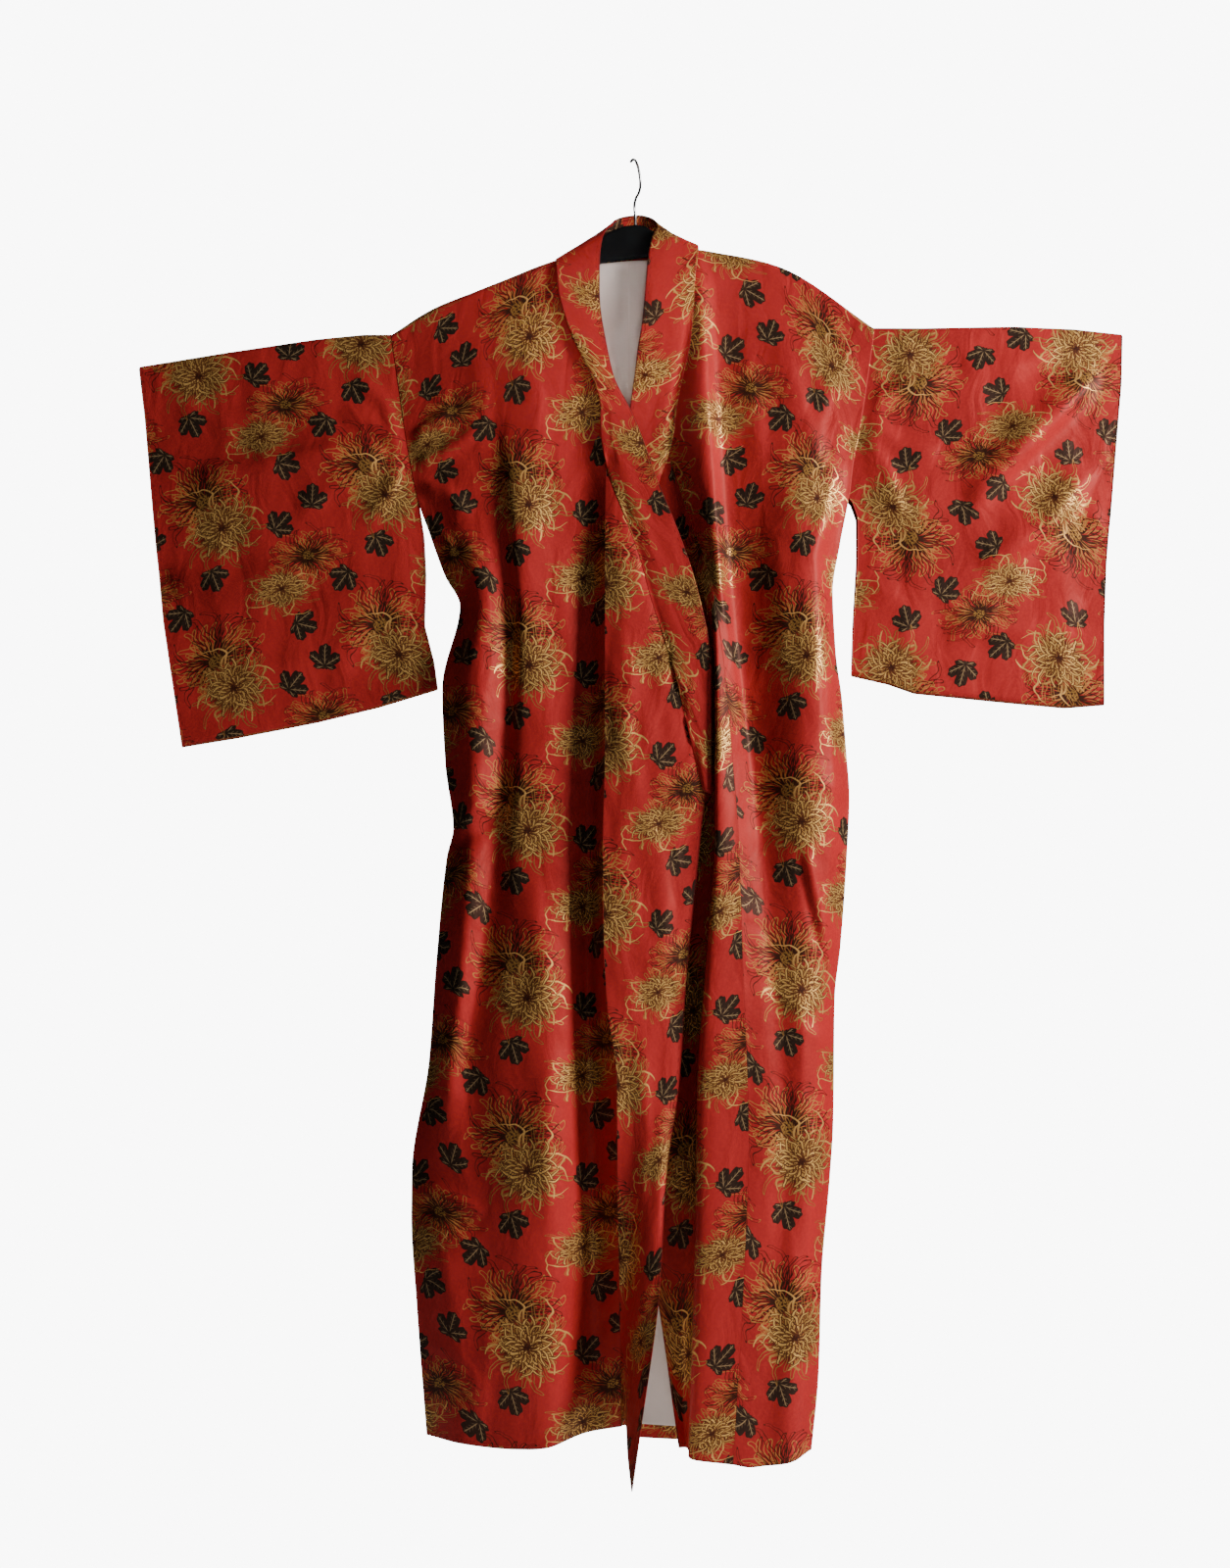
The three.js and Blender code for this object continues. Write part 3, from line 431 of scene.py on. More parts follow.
def crease_height(x, z, creases, scale=1.0):
    """How far the creases push cloth out at x and z."""
    at = np.stack([x, z], axis=-1)
    total = np.zeros(x.shape)
    for route, left_width, right_width, height in creases:
        points = np.array(route, float)
        run = running_length(points)
        starts = run / run[-1]
        near, place, turn = (np.full(x.shape, value) for value in (1e9, 0.0, 1.0))
        for a, b, s0, s1 in zip(points[:-1], points[1:], starts[:-1], starts[1:]):
            ab = b - a
            t = np.clip(((at - a) @ ab) / (ab @ ab), 0, 1)
            rel = at - a - t[..., None] * ab
            distance = np.linalg.norm(rel, axis=-1)
            closer = distance < near
            near = np.where(closer, distance, near)
            place = np.where(closer, s0 + t * (s1 - s0), place)
            turn = np.where(closer, np.sign(ab[0] * rel[..., 1] - ab[1] * rel[..., 0]), turn)
        width = np.where(turn > 0, left_width, right_width)
        taper = 1 - (2 * place - 1) ** 4
        total += height * scale * taper * np.exp(-(near / width) ** 2)
    return total


def ripple(u, v, seed, length):
    """Gentle uneven ripples, about -1 to 1, from a few crossing waves."""
    draw = np.random.default_rng(seed)
    total = np.zeros(u.shape)
    for octave in range(5):
        angle = draw.uniform(-0.7, 0.7)
        wave = length * draw.uniform(0.55, 1.5)
        phase = draw.uniform(0, TURN, 3)
        bend = 0.7 * np.sin(v / (wave * 1.7) + phase[1]) + 0.5 * np.sin(v / (wave * 3.1) + phase[2])
        total += np.sin((u * math.cos(angle) + v * math.sin(angle) * 0.35) / wave * TURN
                        + bend + phase[0]) / (1 + 0.5 * octave)
    return total / 2.6


def arc_lengths(grid):
    """Across and down the grid, the run in millimetres of each point."""
    side, down = (np.linalg.norm(np.diff(grid, axis=axis), axis=2) for axis in (1, 0))
    return (np.pad(np.cumsum(side, axis=1), ((0, 0), (1, 0))),
            np.pad(np.cumsum(down, axis=0), ((1, 0), (0, 0))))


def share_across(grid):
    """How far each point is across its row, from 0 to 1."""
    x = grid[..., 0]
    return (x - x[:, :1]) / (x[:, -1:] - x[:, :1])


def shares_down(*stretches):
    """Shares from 0 to 1 in stretches of (end share, count), with a close row at each end."""
    shares, start = [0.0], 0.0
    for end, count in stretches:
        shares += list(np.linspace(start, end, count + 1)[1:])
        start = end
    return np.array([0.0, CLOSE_ROW] + shares[1:-1] + [1 - CLOSE_ROW, 1.0])


def shares_with_edges(count, edge):
    """Even shares from 0 to 1, with one more close to each end."""
    return np.concatenate([[0, edge], np.linspace(0, 1, count)[1:-1], [1 - edge, 1]])


def edge_distance(u, v, *edges):
    """The distance along the cloth to the nearest of the named edges of a grid."""
    runs = {"left": u, "right": u[:, -1:] - u, "top": v, "bottom": v[-1:] - v}
    return np.minimum.reduce([np.full(u.shape, FAR)] + [runs[edge] for edge in edges])


def close_edges(grid):
    """Adds a column close to each side edge, which keeps the soft rim narrow."""
    first = grid[:, :1] + (grid[:, 1:2] - grid[:, :1]) * CLOSE_COLUMN
    last = grid[:, -1:] + (grid[:, -2:-1] - grid[:, -1:]) * CLOSE_COLUMN
    return np.concatenate([grid[:, :1], first, grid[:, 1:-1], last, grid[:, -1:]], axis=1)


def near_cells(table, rows, columns):
    """Copies of a table, each shifted by some cells, up to rows and columns either way."""
    padded = np.pad(table, ((rows, rows), (columns, columns)), mode="edge")
    return [padded[a:a + table.shape[0], b:b + table.shape[1]]
            for a in range(2 * rows + 1) for b in range(2 * columns + 1)]


# ---- turning a grid into a sheet of cloth ----
def sheet_mesh(name, grid, thickness, outside, uv, hem, seam, materials, lined=0, looped=False):
    """A closed thin sheet about grid (mm), with soft rims; its thickness is in metres.

    outside is 1 where the grid's normals point to the cloth's face, and -1 where they point to
    its back. lined is 1 for rows of cells whose inner face has the second material.
    """
    thickness = thickness * PER_METRE
    rows, columns = grid.shape[:2]
    count = rows * columns
    index = np.arange(count).reshape(rows, columns)
    joined = np.concatenate([index, index[:1]]) if looped else index
    quads = np.stack([joined[:-1, :-1], joined[:-1, 1:], joined[1:, 1:], joined[1:, :-1]], axis=-1)
    quads = quads.reshape(-1, 4)
    side, down = (unit(np.gradient(grid, axis=axis)) for axis in (1, 0))
    out = np.zeros(grid.shape)
    out[:, 0] -= side[:, 0]
    out[:, -1] += side[:, -1]
    if looped:
        edges = [index[:, 0], index[::-1, -1]]
    else:
        edges = [np.concatenate([index[0, :-1], index[:-1, -1], index[-1, :0:-1], index[:0:-1, 0]])]
        out[0] -= down[0]
        out[-1] += down[-1]
    out, flat = unit(out).reshape(-1, 3), grid.reshape(-1, 3)
    # each rim has a middle row, pushed out by half the thickness, that rounds the edge
    middles, rims, base = [], [], 2 * count
    for edge in edges:
        middle = base + np.arange(len(edge))
        base += len(edge)
        middles.append(flat[edge] + out[edge] * thickness / 2)
        next_edge, next_middle = np.roll(edge, -1), np.roll(middle, -1)
        rims += [np.stack([edge, middle, next_middle, next_edge], axis=-1),
                 np.stack([middle, edge + count, next_edge + count, next_middle], axis=-1)]
    rim = np.concatenate(rims)
    if outside < 0:
        quads, rim = quads[:, ::-1], rim[:, ::-1]
    faces = np.concatenate([quads, quads[:, ::-1] + count, rim])
    shift = grid_normals(grid, looped) * outside * thickness / 2
    layers = [(grid + shift).reshape(-1, 3), (grid - shift).reshape(-1, 3)]
    points = np.concatenate(layers + middles) * MM
    inner = np.repeat(np.broadcast_to(lined, len(joined) - 1), columns - 1)
    slots = np.concatenate([np.zeros(len(quads), int), inner, np.zeros(len(rim), int)])
    source = np.concatenate([np.arange(count)] * 2 + edges)   # the grid point of each point

    mesh = bpy.data.meshes.new(name)
    mesh.from_pydata(points.tolist(), [], faces.tolist())
    mesh.polygons.foreach_set("use_smooth", np.ones(len(faces), bool))
    mesh.polygons.foreach_set("material_index", slots)
    for label in materials:
        mesh.materials.append(material(label))
    cloth = np.stack([run.ravel() for run in uv], axis=-1)[source[faces.ravel()]] * MM
    mesh.uv_layers.new(name="Cloth").data.foreach_set("uv", cloth.ravel())
    for label, values in (("hem", hem), ("seam", seam)):
        attribute = mesh.attributes.new(label, "FLOAT", "POINT")
        attribute.data.foreach_set("value", (values.ravel()[source] * MM).astype(np.float32))
    mesh.validate()
    mesh.update()
    piece = bpy.data.objects.new(name, mesh)
    bpy.context.scene.collection.objects.link(piece)
    return piece


def lay_pattern(grid, u, v, anchor, centre=(0, 0), turn=False, rows=slice(None)):
    """Slides the runs u and v so that the pattern's given centre lies at anchor [x, z]."""
    part = grid[rows]
    distance = (part[..., 0] - anchor[0]) ** 2 + (part[..., 2] - anchor[1]) ** 2
    i, j = np.unravel_index(np.argmin(distance), distance.shape)
    sign = -1 if turn else 1
    return sign * (u - u[i, j]) + centre[0], sign * (v - v[i, j]) + centre[1]


# ---- the shapes of the pieces ----
def shoulder_arc(start, end, steps):
    """The half circle of cloth over the shoulder, between two rows of points."""
    angle = np.pi * np.arange(1, steps) / steps
    share = ((1 - np.cos(angle)) / 2)[:, None, None]
    arc = start[None] + (end - start)[None] * share
    arc[..., 2] += SHOULDER_RISE * np.sin(angle)[:, None]
    return arc


def back_depth(x, z):
    """How far back the cloth hangs, with its soft folds."""
    share = np.clip((BACK_NECK_Z - z) / (BACK_NECK_Z - BACK_HEM_Z), 0, 1)
    y = lerp(BACK_AT_SHOULDER, BACK_AT_HEM, np.sqrt(share))
    for top, hem, width, depth in BACK_FOLDS:
        away = (x - lerp(top, hem, share)) / width
        y = y + depth * np.minimum(1, share * 4) * np.exp(-away * away)
    return y


def body_grid(lines, seam_side, shares, v):
    """The front, the shoulder's ridge and the back of a body panel, at shares down its side."""
    points = np.stack([on_line(route, shares) for _, _, route in lines], axis=1)
    front = across(points, [count for _, count, _ in lines[:-1]])
    top = front[0]
    shoulder = top.copy()
    shoulder[:, 1] = BACK_AT_SHOULDER
    inner = shoulder[-1]
    edge = on_line(lines[0][2], v)
    neck = np.minimum(1, v / NECK_END)
    inner_x = lerp(inner[0], CENTRE_X + seam_side * GAP / 2, neck)
    low, hem = BACK_NECK_Z - NECK_DIP, BACK_HEM_Z + (LEFT_HEM_UP if seam_side < 0 else 0)
    inner_z = np.where(neck < 1, lerp(inner[2], low, neck),
                       lerp(low, hem, np.clip((v - NECK_END) / (1 - NECK_END), 0, 1)))
    edge_back = np.where(v <= ARMHOLE, -edge[:, 1], lerp(
        -edge[:, 1], SIDE_SEAM_Y + SEAM_HALF, smooth((v - ARMHOLE) / (SLIT_END - ARMHOLE))))
    share = (top[:, 0] - top[0, 0]) / (inner[0] - top[0, 0])
    x = edge[:, :1] + (inner_x[:, None] - edge[:, :1]) * share
    z = edge[:, 2:] + (inner_z[:, None] - edge[:, 2:]) * share
    reach = np.abs(inner_x - edge[:, 0])[:, None]
    rise = smooth(np.minimum(1, share * reach / EDGE_ROUNDING))
    y = edge_back[:, None] + (back_depth(x, z) - edge_back[:, None]) * rise
    y[:, 0] = edge_back
    back = np.stack([x, y, z], axis=-1)
    back[0] = shoulder
    return front, shoulder_arc(front[0], back[0], 10), back


def overlap_grid(body_lines, lines, direction, seam_cells):
    """An overlap panel from its seam with the body to its front edge."""
    seam = on_line(body_lines[-1][2], lerp(ARMHOLE, 1, OVERLAP_SHARES))
    seam[:, 0] += direction * GAP
    points = np.stack([seam] + [on_line(route, OVERLAP_SHARES) for _, _, route in lines], axis=1)
    return across(points, [seam_cells] + [count for _, count, _ in lines[:-1]])


def fold_height(x, z, fold):
    """How far a sleeve's large soft fold stands out."""
    (ax, az), (bx, bz), width, depth = fold
    line = np.array([bx - ax, bz - az])
    t = ((x - ax) * line[0] + (z - az) * line[1]) / (line @ line)
    off = np.hypot(x - ax - t * line[0], z - az - t * line[1]) / width
    return depth * np.maximum(0, 1 - (2 * t - 1) ** 2) * np.exp(-off * off)


def sleeve_grid(body_lines, form, creases, back_creases):
    """A sleeve all round, from the hem up its front and down its back, and its front's rows."""
    arm = on_line(body_lines[0][2], np.linspace(0, 1, 30) * ARMHOLE)
    k = np.linspace(0, 1, 38)
    k = k[along_edge(form["furi"], k)[:, 1] < arm[-1, 2] - 3]
    furi = along_edge(form["furi"], k)
    inner = np.concatenate([arm, np.stack([furi[:, 0], lerp(-10, -HEM_HALF, k), furi[:, 1]],
                                          axis=-1)])
    w = ((inner[0, 2] - inner[:, 2]) / (inner[0, 2] - inner[-1, 2]))[:, None]
    s = shares_with_edges(64, SLEEVE_EDGE)[None, :]
    cuff, top, bottom = (along_edge(form[name], share) for name, share in (
        ("cuff", w[:, 0]), ("top", s[0]), ("bottom", s[0])))
    corner = [along_edge(form[name], end) for name in ("top", "bottom") for end in (0, 1)]

    def blend(axis, flat_axis):
        """A coordinate inside the four edges, from the edges alone."""
        a, b, c, d = (point[flat_axis] for point in corner)
        return ((1 - s) * inner[:, axis, None] + s * cuff[:, flat_axis, None]
                + (1 - w) * top[None, :, flat_axis] + w * bottom[None, :, flat_axis]
                - (1 - s) * (1 - w) * a - s * (1 - w) * b - (1 - s) * w * c - s * w * d)

    x, z = blend(0, 0), blend(2, 1)
    cuff_half = lerp(SEAM_HALF, CUFF_HALF, 1 - smooth((w - CUFF_OPENING) / 0.08))
    fade = window(s, 14, 14) * smooth(w * 14) * smooth((1 - w) * 14)
    layers = []
    for side, pressed in ((-1, creases), (1, back_creases)):
        inner_half = -inner[:, 1, None]
        if side > 0:
            inner_half = np.where(w == 0, BACK_AT_SHOULDER, inner_half)
        edge_half = np.where(w == 1, HEM_HALF, lerp(inner_half, cuff_half, smooth(s)))
        half = edge_half + SLEEVE_FULLNESS * np.sin(np.pi * s) * np.sin(np.pi * w)
        if side < 0:
            half = half + fold_height(x, z, form["fold"])
        extra = crease_height(x, z, pressed) + 1.1 * ripple(x, z, 7 + side, 70)
        half = half + np.maximum(extra * fade, SLEEVE_LEAST_HALF - half)
        layers.append(np.stack([x, side * half, z], axis=-1))
    front, back = layers
    spread = (back[0, :, 1] - front[0, :, 1]) / (BACK_AT_SHOULDER - front[0, 0, 1])
    arc = shoulder_arc(front[0], back[0], 8)
    arc[..., 2] = lerp(front[0, :, 2], arc[..., 2], spread)
    hem = (front[-1] + back[-1]) / 2
    hem[:, 2] -= HEM_HALF
    grid = np.concatenate([front[::-1], arc, back, hem[None]])
    grid[:, 0, 0] += np.sign(form["cuff"][0][0]) * GAP
    return grid, len(front)


# ---- building nodes ----
class Value:
    """A node's output that can be calculated with; each operation adds a math node."""

    def __init__(self, wiring, socket):
        self.wiring, self.socket = wiring, socket

    def do(self, operation, *others):
        return self.wiring.math(operation, self, *others)

    def __add__(self, other):
        return self.do("ADD", other)

    def __sub__(self, other):
        return self.do("SUBTRACT", other)

    def __rsub__(self, other):
        return self.wiring.math("SUBTRACT", other, self)

    def __mul__(self, other):
        return self.do("MULTIPLY", other)

    def __truediv__(self, other):
        return self.do("DIVIDE", other)

    def __pow__(self, other):
        return self.do("POWER", other)

    def step(self, low, high):
        """Rises smoothly from 0 to 1 between low and high."""
        node = self.wiring.node("ShaderNodeMapRange", {"interpolation_type": "SMOOTHSTEP"})
        for socket, item in zip(node.inputs[:5], (self, low, high, 0.0, 1.0)):
            self.wiring.feed(socket, item)
        return Value(self.wiring, node.outputs[0])


class Wiring:
    """Adds nodes to a tree and joins their sockets.

    An input's name is given with underscores for its spaces.
    """

    def __init__(self, tree):
        self.tree = tree

    def feed(self, socket, value):
        if isinstance(value, Value):
            self.tree.links.new(value.socket, socket)
        else:
            socket.default_value = value

    def node(self, kind, settings=None, **inputs):
        node = self.tree.nodes.new(kind)
        for name, value in (settings or {}).items():
            setattr(node, name, value)
        for name, value in inputs.items():
            self.feed(node.inputs[name.replace("_", " ")], value)
        return node

    def get(self, kind, output=0, settings=None, **inputs):
        """One output of a new node."""
        return Value(self, self.node(kind, settings, **inputs).outputs[output])

    def noise(self, place, scale, detail, dimensions="2D", **inputs):
        return self.get("ShaderNodeTexNoise", 0, {"noise_dimensions": dimensions}, Vector=place,
                        Scale=scale, Detail=detail, **inputs)

    def math(self, operation, *values, clamp=False):
        node = self.node("ShaderNodeMath", {"operation": operation, "use_clamp": clamp})
        for socket, value in zip(node.inputs, values):
            self.feed(socket, value)
        return Value(self, node.outputs[0])

    def blend(self, data_type, first, factor, a, b):
        node = self.node("ShaderNodeMix", {"data_type": data_type})
        for place, value in ((0, factor), (first, a), (first + 1, b)):
            self.feed(node.inputs[place], value)
        return node

    def mix(self, factor, a, b):
        return Value(self, self.blend("FLOAT", 2, factor, a, b).outputs[0])

    def colour(self, factor, a, b):
        return Value(self, self.blend("RGBA", 6, factor, a, b).outputs[2])

    def group(self, tree, **inputs):
        """The outputs of a copy of a node group, by name."""
        node = self.node("ShaderNodeGroup", {"node_tree": tree}, **inputs)
        return {output.name: Value(self, output) for output in node.outputs}

    def give(self, **values):
        """Closes a node group with its outputs."""
        for name in values:
            self.tree.interface.new_socket(name, in_out="OUTPUT", socket_type="NodeSocketFloat")
        end = self.tree.nodes.new("NodeGroupOutput")
        for name, value in values.items():
            self.feed(end.inputs[name], value)
        return self.tree


def new_group(name, inputs):
    """A node group's wiring and inputs; each input has a default number, or None for a vector."""
    tree = bpy.data.node_groups.new(name, "ShaderNodeTree")
    for label, default in inputs.items():
        kind = "NodeSocketVector" if default is None else "NodeSocketFloat"
        socket = tree.interface.new_socket(label, in_out="INPUT", socket_type=kind)
        if default is not None:
            socket.default_value = default
    w, start = Wiring(tree), tree.nodes.new("NodeGroupInput")
    return w, [Value(w, output) for output in start.outputs[:len(inputs)]]


def runs(w, cloth):
    """How far across and down the cloth a point is, in metres."""
    split = w.node("ShaderNodeSeparateXYZ", Vector=cloth)
    return [Value(w, split.outputs[axis]) for axis in (0, 1)]


# ---- the brocade's motifs, in millimetres ----
# Rings of petals: count, reach, half width, curl, hook, seed, and on gold ones the dark edge.
GOLD_RINGS = [
    (8, 67, 1.5, 0.25, 0.9, 1.3, 0.3), (11, 57, 1.6, -0.4, -1.1, 4.1, 0.4),
    (21, 45, 2.1, 1.3, 1.3, 8.7, 1.0), (20, 38, 2.2, -1.2, -1.2, 12.2, 1.0),
    (18, 31, 2.3, 1.3, 1.0, 15.9, 1.0), (15, 24, 2.3, -1.2, -0.8, 21.4, 1.0),
    (12, 17, 2.3, 1.0, 0.4, 27.3, 1.0), (8, 10, 2.1, -0.6, 0.0, 33.1, 1.0),
]
FRINGE = (27, 63, 2.0, -0.5, 1.1, 44.5)          # thin loops round the gold flower
LOOP_RINGS = [
    (17, 74, 3.0, 0.5, 1.0, 2.2), (24, 61, 2.4, -0.5, -0.8, 5.5), (28, 46, 2.0, 0.6, 0.5, 9.1),
    (19, 67, 2.6, -0.9, -1.3, 14.4),
]
STROKES = (25, 31, 1.1, 0.8, 0.0, 13.7)          # dark strokes in the outlined flower
FLOWER_INPUTS = {"Across": 0.0, "Down": 0.0, "Size": 1.0, "Flatness": 1.0, "Seed": 0.0}
UNEVENNESS = 8.0
LEAF_LENGTH = 29.0
LEAF_STALK = 9.5                                 # from the leaf's middle to where its ribs meet
LEAF_LOBE = math.radians(27)                     # half the angle from one lobe to the next
# Each motif's place in the repeat, then its size, flatness and seed, or its turn.
GOLD_PLACES = [(0, 0, 1.0, 1.0, 0.0), (GOLD_B[0], GOLD_B[1], 0.93, 1.45, 31.0)]
OUTLINE_PLACES = [(-17, -41, 1.0, 1.0, 0.0), (108, 59, 0.9, 1.5, 17.0)]
LEAF_PLACES = [(-17, 64, 0.3), (76, 12, 2.3), (124, -15, 2.9), (98, -64, 1.2), (-65, 106, -0.7)]


def make_petal_ring():
    """One ring of curving petals: how deep in a petal each point is, each petal's own number,
    and how far along it the point is. Angle is in turns; Depth is positive inside a petal."""
    w, (angle, radius, count, reach, half, curl, hook, seed) = new_group("Petal Ring", {
        "Angle": 0.0, "Radius": 0.0, "Count": 12.0, "Reach": 40.0, "Half Width": 2.0, "Curl": 0.4,
        "Hook": 0.0, "Seed": 0.0})
    out = radius / reach
    place = angle * count + (curl * out + hook * out ** 4.0) + seed
    which = place.do("FLOOR")
    chance = w.get("ShaderNodeTexWhiteNoise", "Value", {"noise_dimensions": "1D"},
                   W=which + seed * 7.31)
    sway = (radius * 0.16 + chance * 17.0).do("SINE") * 0.13
    pitch = radius * TURN / count
    lateral = (place - which - 0.5 + sway) * pitch
    length = reach * (chance * 0.38 + 0.62)
    beyond = (radius + half - length).do("MAXIMUM", 0.0)
    distance = (lateral * lateral + beyond * beyond).do("SQRT")
    depth = half.do("MINIMUM", pitch * 0.4) - distance
    return w.give(Depth=depth, Chance=chance, Along=radius / length)


def make_repeat(width, height, drop):
    """Where a point is from the nearest copy of a motif's centre."""
    w, (across_run, down_run, centre_across, centre_down) = new_group("Repeat", {
        "Across": 0.0, "Down": 0.0, "Centre Across": 0.0, "Centre Down": 0.0})
    x = across_run - centre_across
    column = (x / width).do("ROUND")
    y = down_run - centre_down + column * drop
    x, y = x - column * width, y - (y / height).do("ROUND") * height
    return w.give(Across=x, Down=y, Distance=x * x + y * y)


def nearest(w, repeat, u, v, places):
    """The nearest of several motifs: its local coordinates and the values in its row."""
    best = None
    for centre_across, centre_down, *values in places:
        found = w.group(repeat, Across=u, Down=v, Centre_Across=centre_across,
                        Centre_Down=centre_down)
        here = [found["Distance"], found["Across"], found["Down"], *values]
        if best is None:
            best = here
            continue
        closer = here[0].do("LESS_THAN", best[0])
        best = [here[0].do("MINIMUM", best[0])] + [
            w.mix(closer, a, b) for a, b in zip(best[1:], here[1:])]
    return best[1:]


def flower_place(w, u, v, size, flatness, seed):
    """Where a point is in a flower, a little unevenly drawn: across, down, radius, turns."""
    x, y = u / size, v / size * flatness
    spot = w.get("ShaderNodeCombineXYZ", X=x + seed, Y=y)
    waver = w.get("ShaderNodeTexNoise", "Color", {"noise_dimensions": "2D"}, Vector=spot,
                  Scale=0.05, Detail=1.0)
    shift = w.node("ShaderNodeSeparateColor", Color=waver)
    x, y = (at + (Value(w, shift.outputs[k]) - 0.5) * UNEVENNESS for k, at in enumerate((x, y)))
    return x, y, (x * x + y * y).do("SQRT"), y.do("ARCTAN2", x) / TURN


def petals(w, ring, radius, angle, seed, count, reach, half, curl, hook, own):
    return w.group(ring, Angle=angle, Radius=radius, Count=count, Reach=reach, Half_Width=half,
                   Curl=curl, Hook=hook, Seed=seed + own)


def make_gold_flower(ring):
    """A chrysanthemum of gold petals: gold, and the dark gaps between its petals."""
    w, given = new_group("Gold Chrysanthemum", FLOWER_INPUTS)
    _, _, radius, angle = flower_place(w, *given)
    flower = (w, ring, radius, angle, given[4])
    gold = 1.0 - petals(*flower, *FRINGE)["Depth"].do("ABSOLUTE").step(0.25, 0.65)
    dark, shade = (0.92 - radius.step(24.0, 38.0) * 0.92) * (1.0 - gold), 0.25
    for *row, edge in GOLD_RINGS:
        petal = petals(*flower, *row)
        inside = petal["Depth"].step(-0.25, 0.25)
        line = inside * (1.0 - petal["Depth"].step(0.85, 1.5)) * edge
        gold, dark = w.mix(inside, gold, 1.0 - line), w.mix(inside, dark, line)
        shade = w.mix(inside, shade, petal["Along"] * 1.2 + petal["Chance"] * 0.8 - 0.66)
    star = (angle * (6 * TURN)).do("COSINE") * 2.2
    heart = 1.0 - radius.step(star + 2.6, star + 3.4)
    return w.give(Gold=gold * (1.0 - heart), Dark=dark.do("MAXIMUM", heart), Shade=shade)


def make_outline_flower(ring):
    """A chrysanthemum drawn in thin loops, with dark strokes about a yellow heart."""
    w, given = new_group("Outline Chrysanthemum", FLOWER_INPUTS)
    x, y, radius, angle = flower_place(w, *given)
    flower = (w, ring, radius, angle, given[4])
    line = dark = 0.0
    for row in LOOP_RINGS:
        petal = petals(*flower, *row)
        stroke = 1.0 - petal["Depth"].do("ABSOLUTE").step(0.3, 0.75)
        black = petal["Chance"].do("GREATER_THAN", radius * 0.006 + 0.36)
        line = (stroke * (1.0 - black)).do("MAXIMUM", line)
        dark = (stroke * black).do("MAXIMUM", dark)
    filled = petals(*flower, *STROKES)["Depth"].step(-0.2, 0.3) * radius.step(8.0, 10.0)
    place = w.get("ShaderNodeCombineXYZ", X=x / 3.4, Y=y / 3.4)
    dots = w.get("ShaderNodeTexVoronoi", "Distance", {"voronoi_dimensions": "2D"}, Vector=place,
                 Scale=1.0)
    heart = (1.0 - dots.step(0.3, 0.5)) * (1.0 - radius.step(7.5, 9.5))
    return w.give(Line=line, Dark=dark.do("MAXIMUM", filled), Heart=heart)


def make_leaf():
    """A lobed chrysanthemum leaf with its tip down and pale veins."""
    w, (u, v, turn) = new_group("Chrysanthemum Leaf", {"Across": 0.0, "Down": 0.0, "Turn": 0.0})
    cosine, sine = turn.do("COSINE"), turn.do("SINE")
    x, y = u * cosine - v * sine, u * sine + v * cosine + LEAF_STALK
    angle, radius = x.do("ABSOLUTE").do("ARCTAN2", y), (x * x + y * y).do("SQRT")
    swing = angle.do("PINGPONG", LEAF_LOBE)
    teeth = (angle * 22.0).do("COSINE") * 0.03
    length = (angle.do("COSINE") * 0.43 + 0.57) * LEAF_LENGTH
    margin = length * (teeth + 1.0 - (swing / LEAF_LOBE) ** 3.0 * 0.38) - radius
    # a rib to each lobe, with short side ribs that slant outwards
    aside, ahead = radius * swing.do("SINE"), radius * swing.do("COSINE")
    rib = 1.0 - aside.step(0.3, 0.7)
    branch = (ahead - aside * 1.3).do("PINGPONG", 2.9)
    side_rib = (1.0 - branch.step(0.25, 0.55)) * (1.0 - aside.step(2.4, 3.4))
    reach = margin.step(1.2, 2.4) * radius.step(1.0, 6.0)
    return w.give(Leaf=margin.step(-0.3, 0.3), Vein=rib.do("MAXIMUM", side_rib * 0.6) * reach)


def make_brocade_pattern(sizes):
    """The woven repeat: masks of its threads, read from the cloth's own run in metres."""
    repeat = make_repeat(sizes.repeat_width * PER_METRE, sizes.repeat_height * PER_METRE,
                         sizes.repeat_drop * PER_METRE)
    ring = make_petal_ring()
    trees = (make_gold_flower(ring), make_outline_flower(ring), make_leaf())
    w, (cloth,) = new_group("Brocade Pattern", {"Cloth": None})
    u, v = (run * PER_METRE for run in runs(w, cloth))
    flower, outline, leaf = (
        w.group(tree, **dict(zip(names, nearest(w, repeat, u, v, places))))
        for tree, names, places in zip(
            trees, (FLOWER_INPUTS, FLOWER_INPUTS, ("Across", "Down", "Turn")),
            (GOLD_PLACES, OUTLINE_PLACES, LEAF_PLACES)))
    gold, dark = flower["Gold"], flower["Dark"]
    clear = w.math("SUBTRACT", 1.0, gold + dark, clamp=True)
    leafy = leaf["Leaf"] * clear
    return w.give(
        Gold=gold.do("MAXIMUM", outline["Heart"] * clear),
        Dark=dark.do("MAXIMUM", outline["Dark"] * clear),
        Copper=outline["Line"] * clear * (1.0 - leafy),
        Leaf=leafy,
        Vein=leaf["Vein"] * clear,
        Shade=flower["Shade"])


def make_thread_weave():
    """Fine threads of a satin: a height and a slight change of tone."""
    w, (cloth, pitch, slant) = new_group("Thread Weave", {
        "Cloth": None, "Pitch": 0.45, "Slant": 0.35})
    u, v = (run * PER_METRE for run in runs(w, cloth))
    thread = ((v + u * slant) / pitch * TURN).do("SINE")
    cross = (u / (pitch * 1.7) * TURN).do("SINE")
    return w.give(Height=thread * 0.6 + cross * 0.4,
                  Tone=w.noise(cloth, 260.0, 2.0, Roughness=0.6))


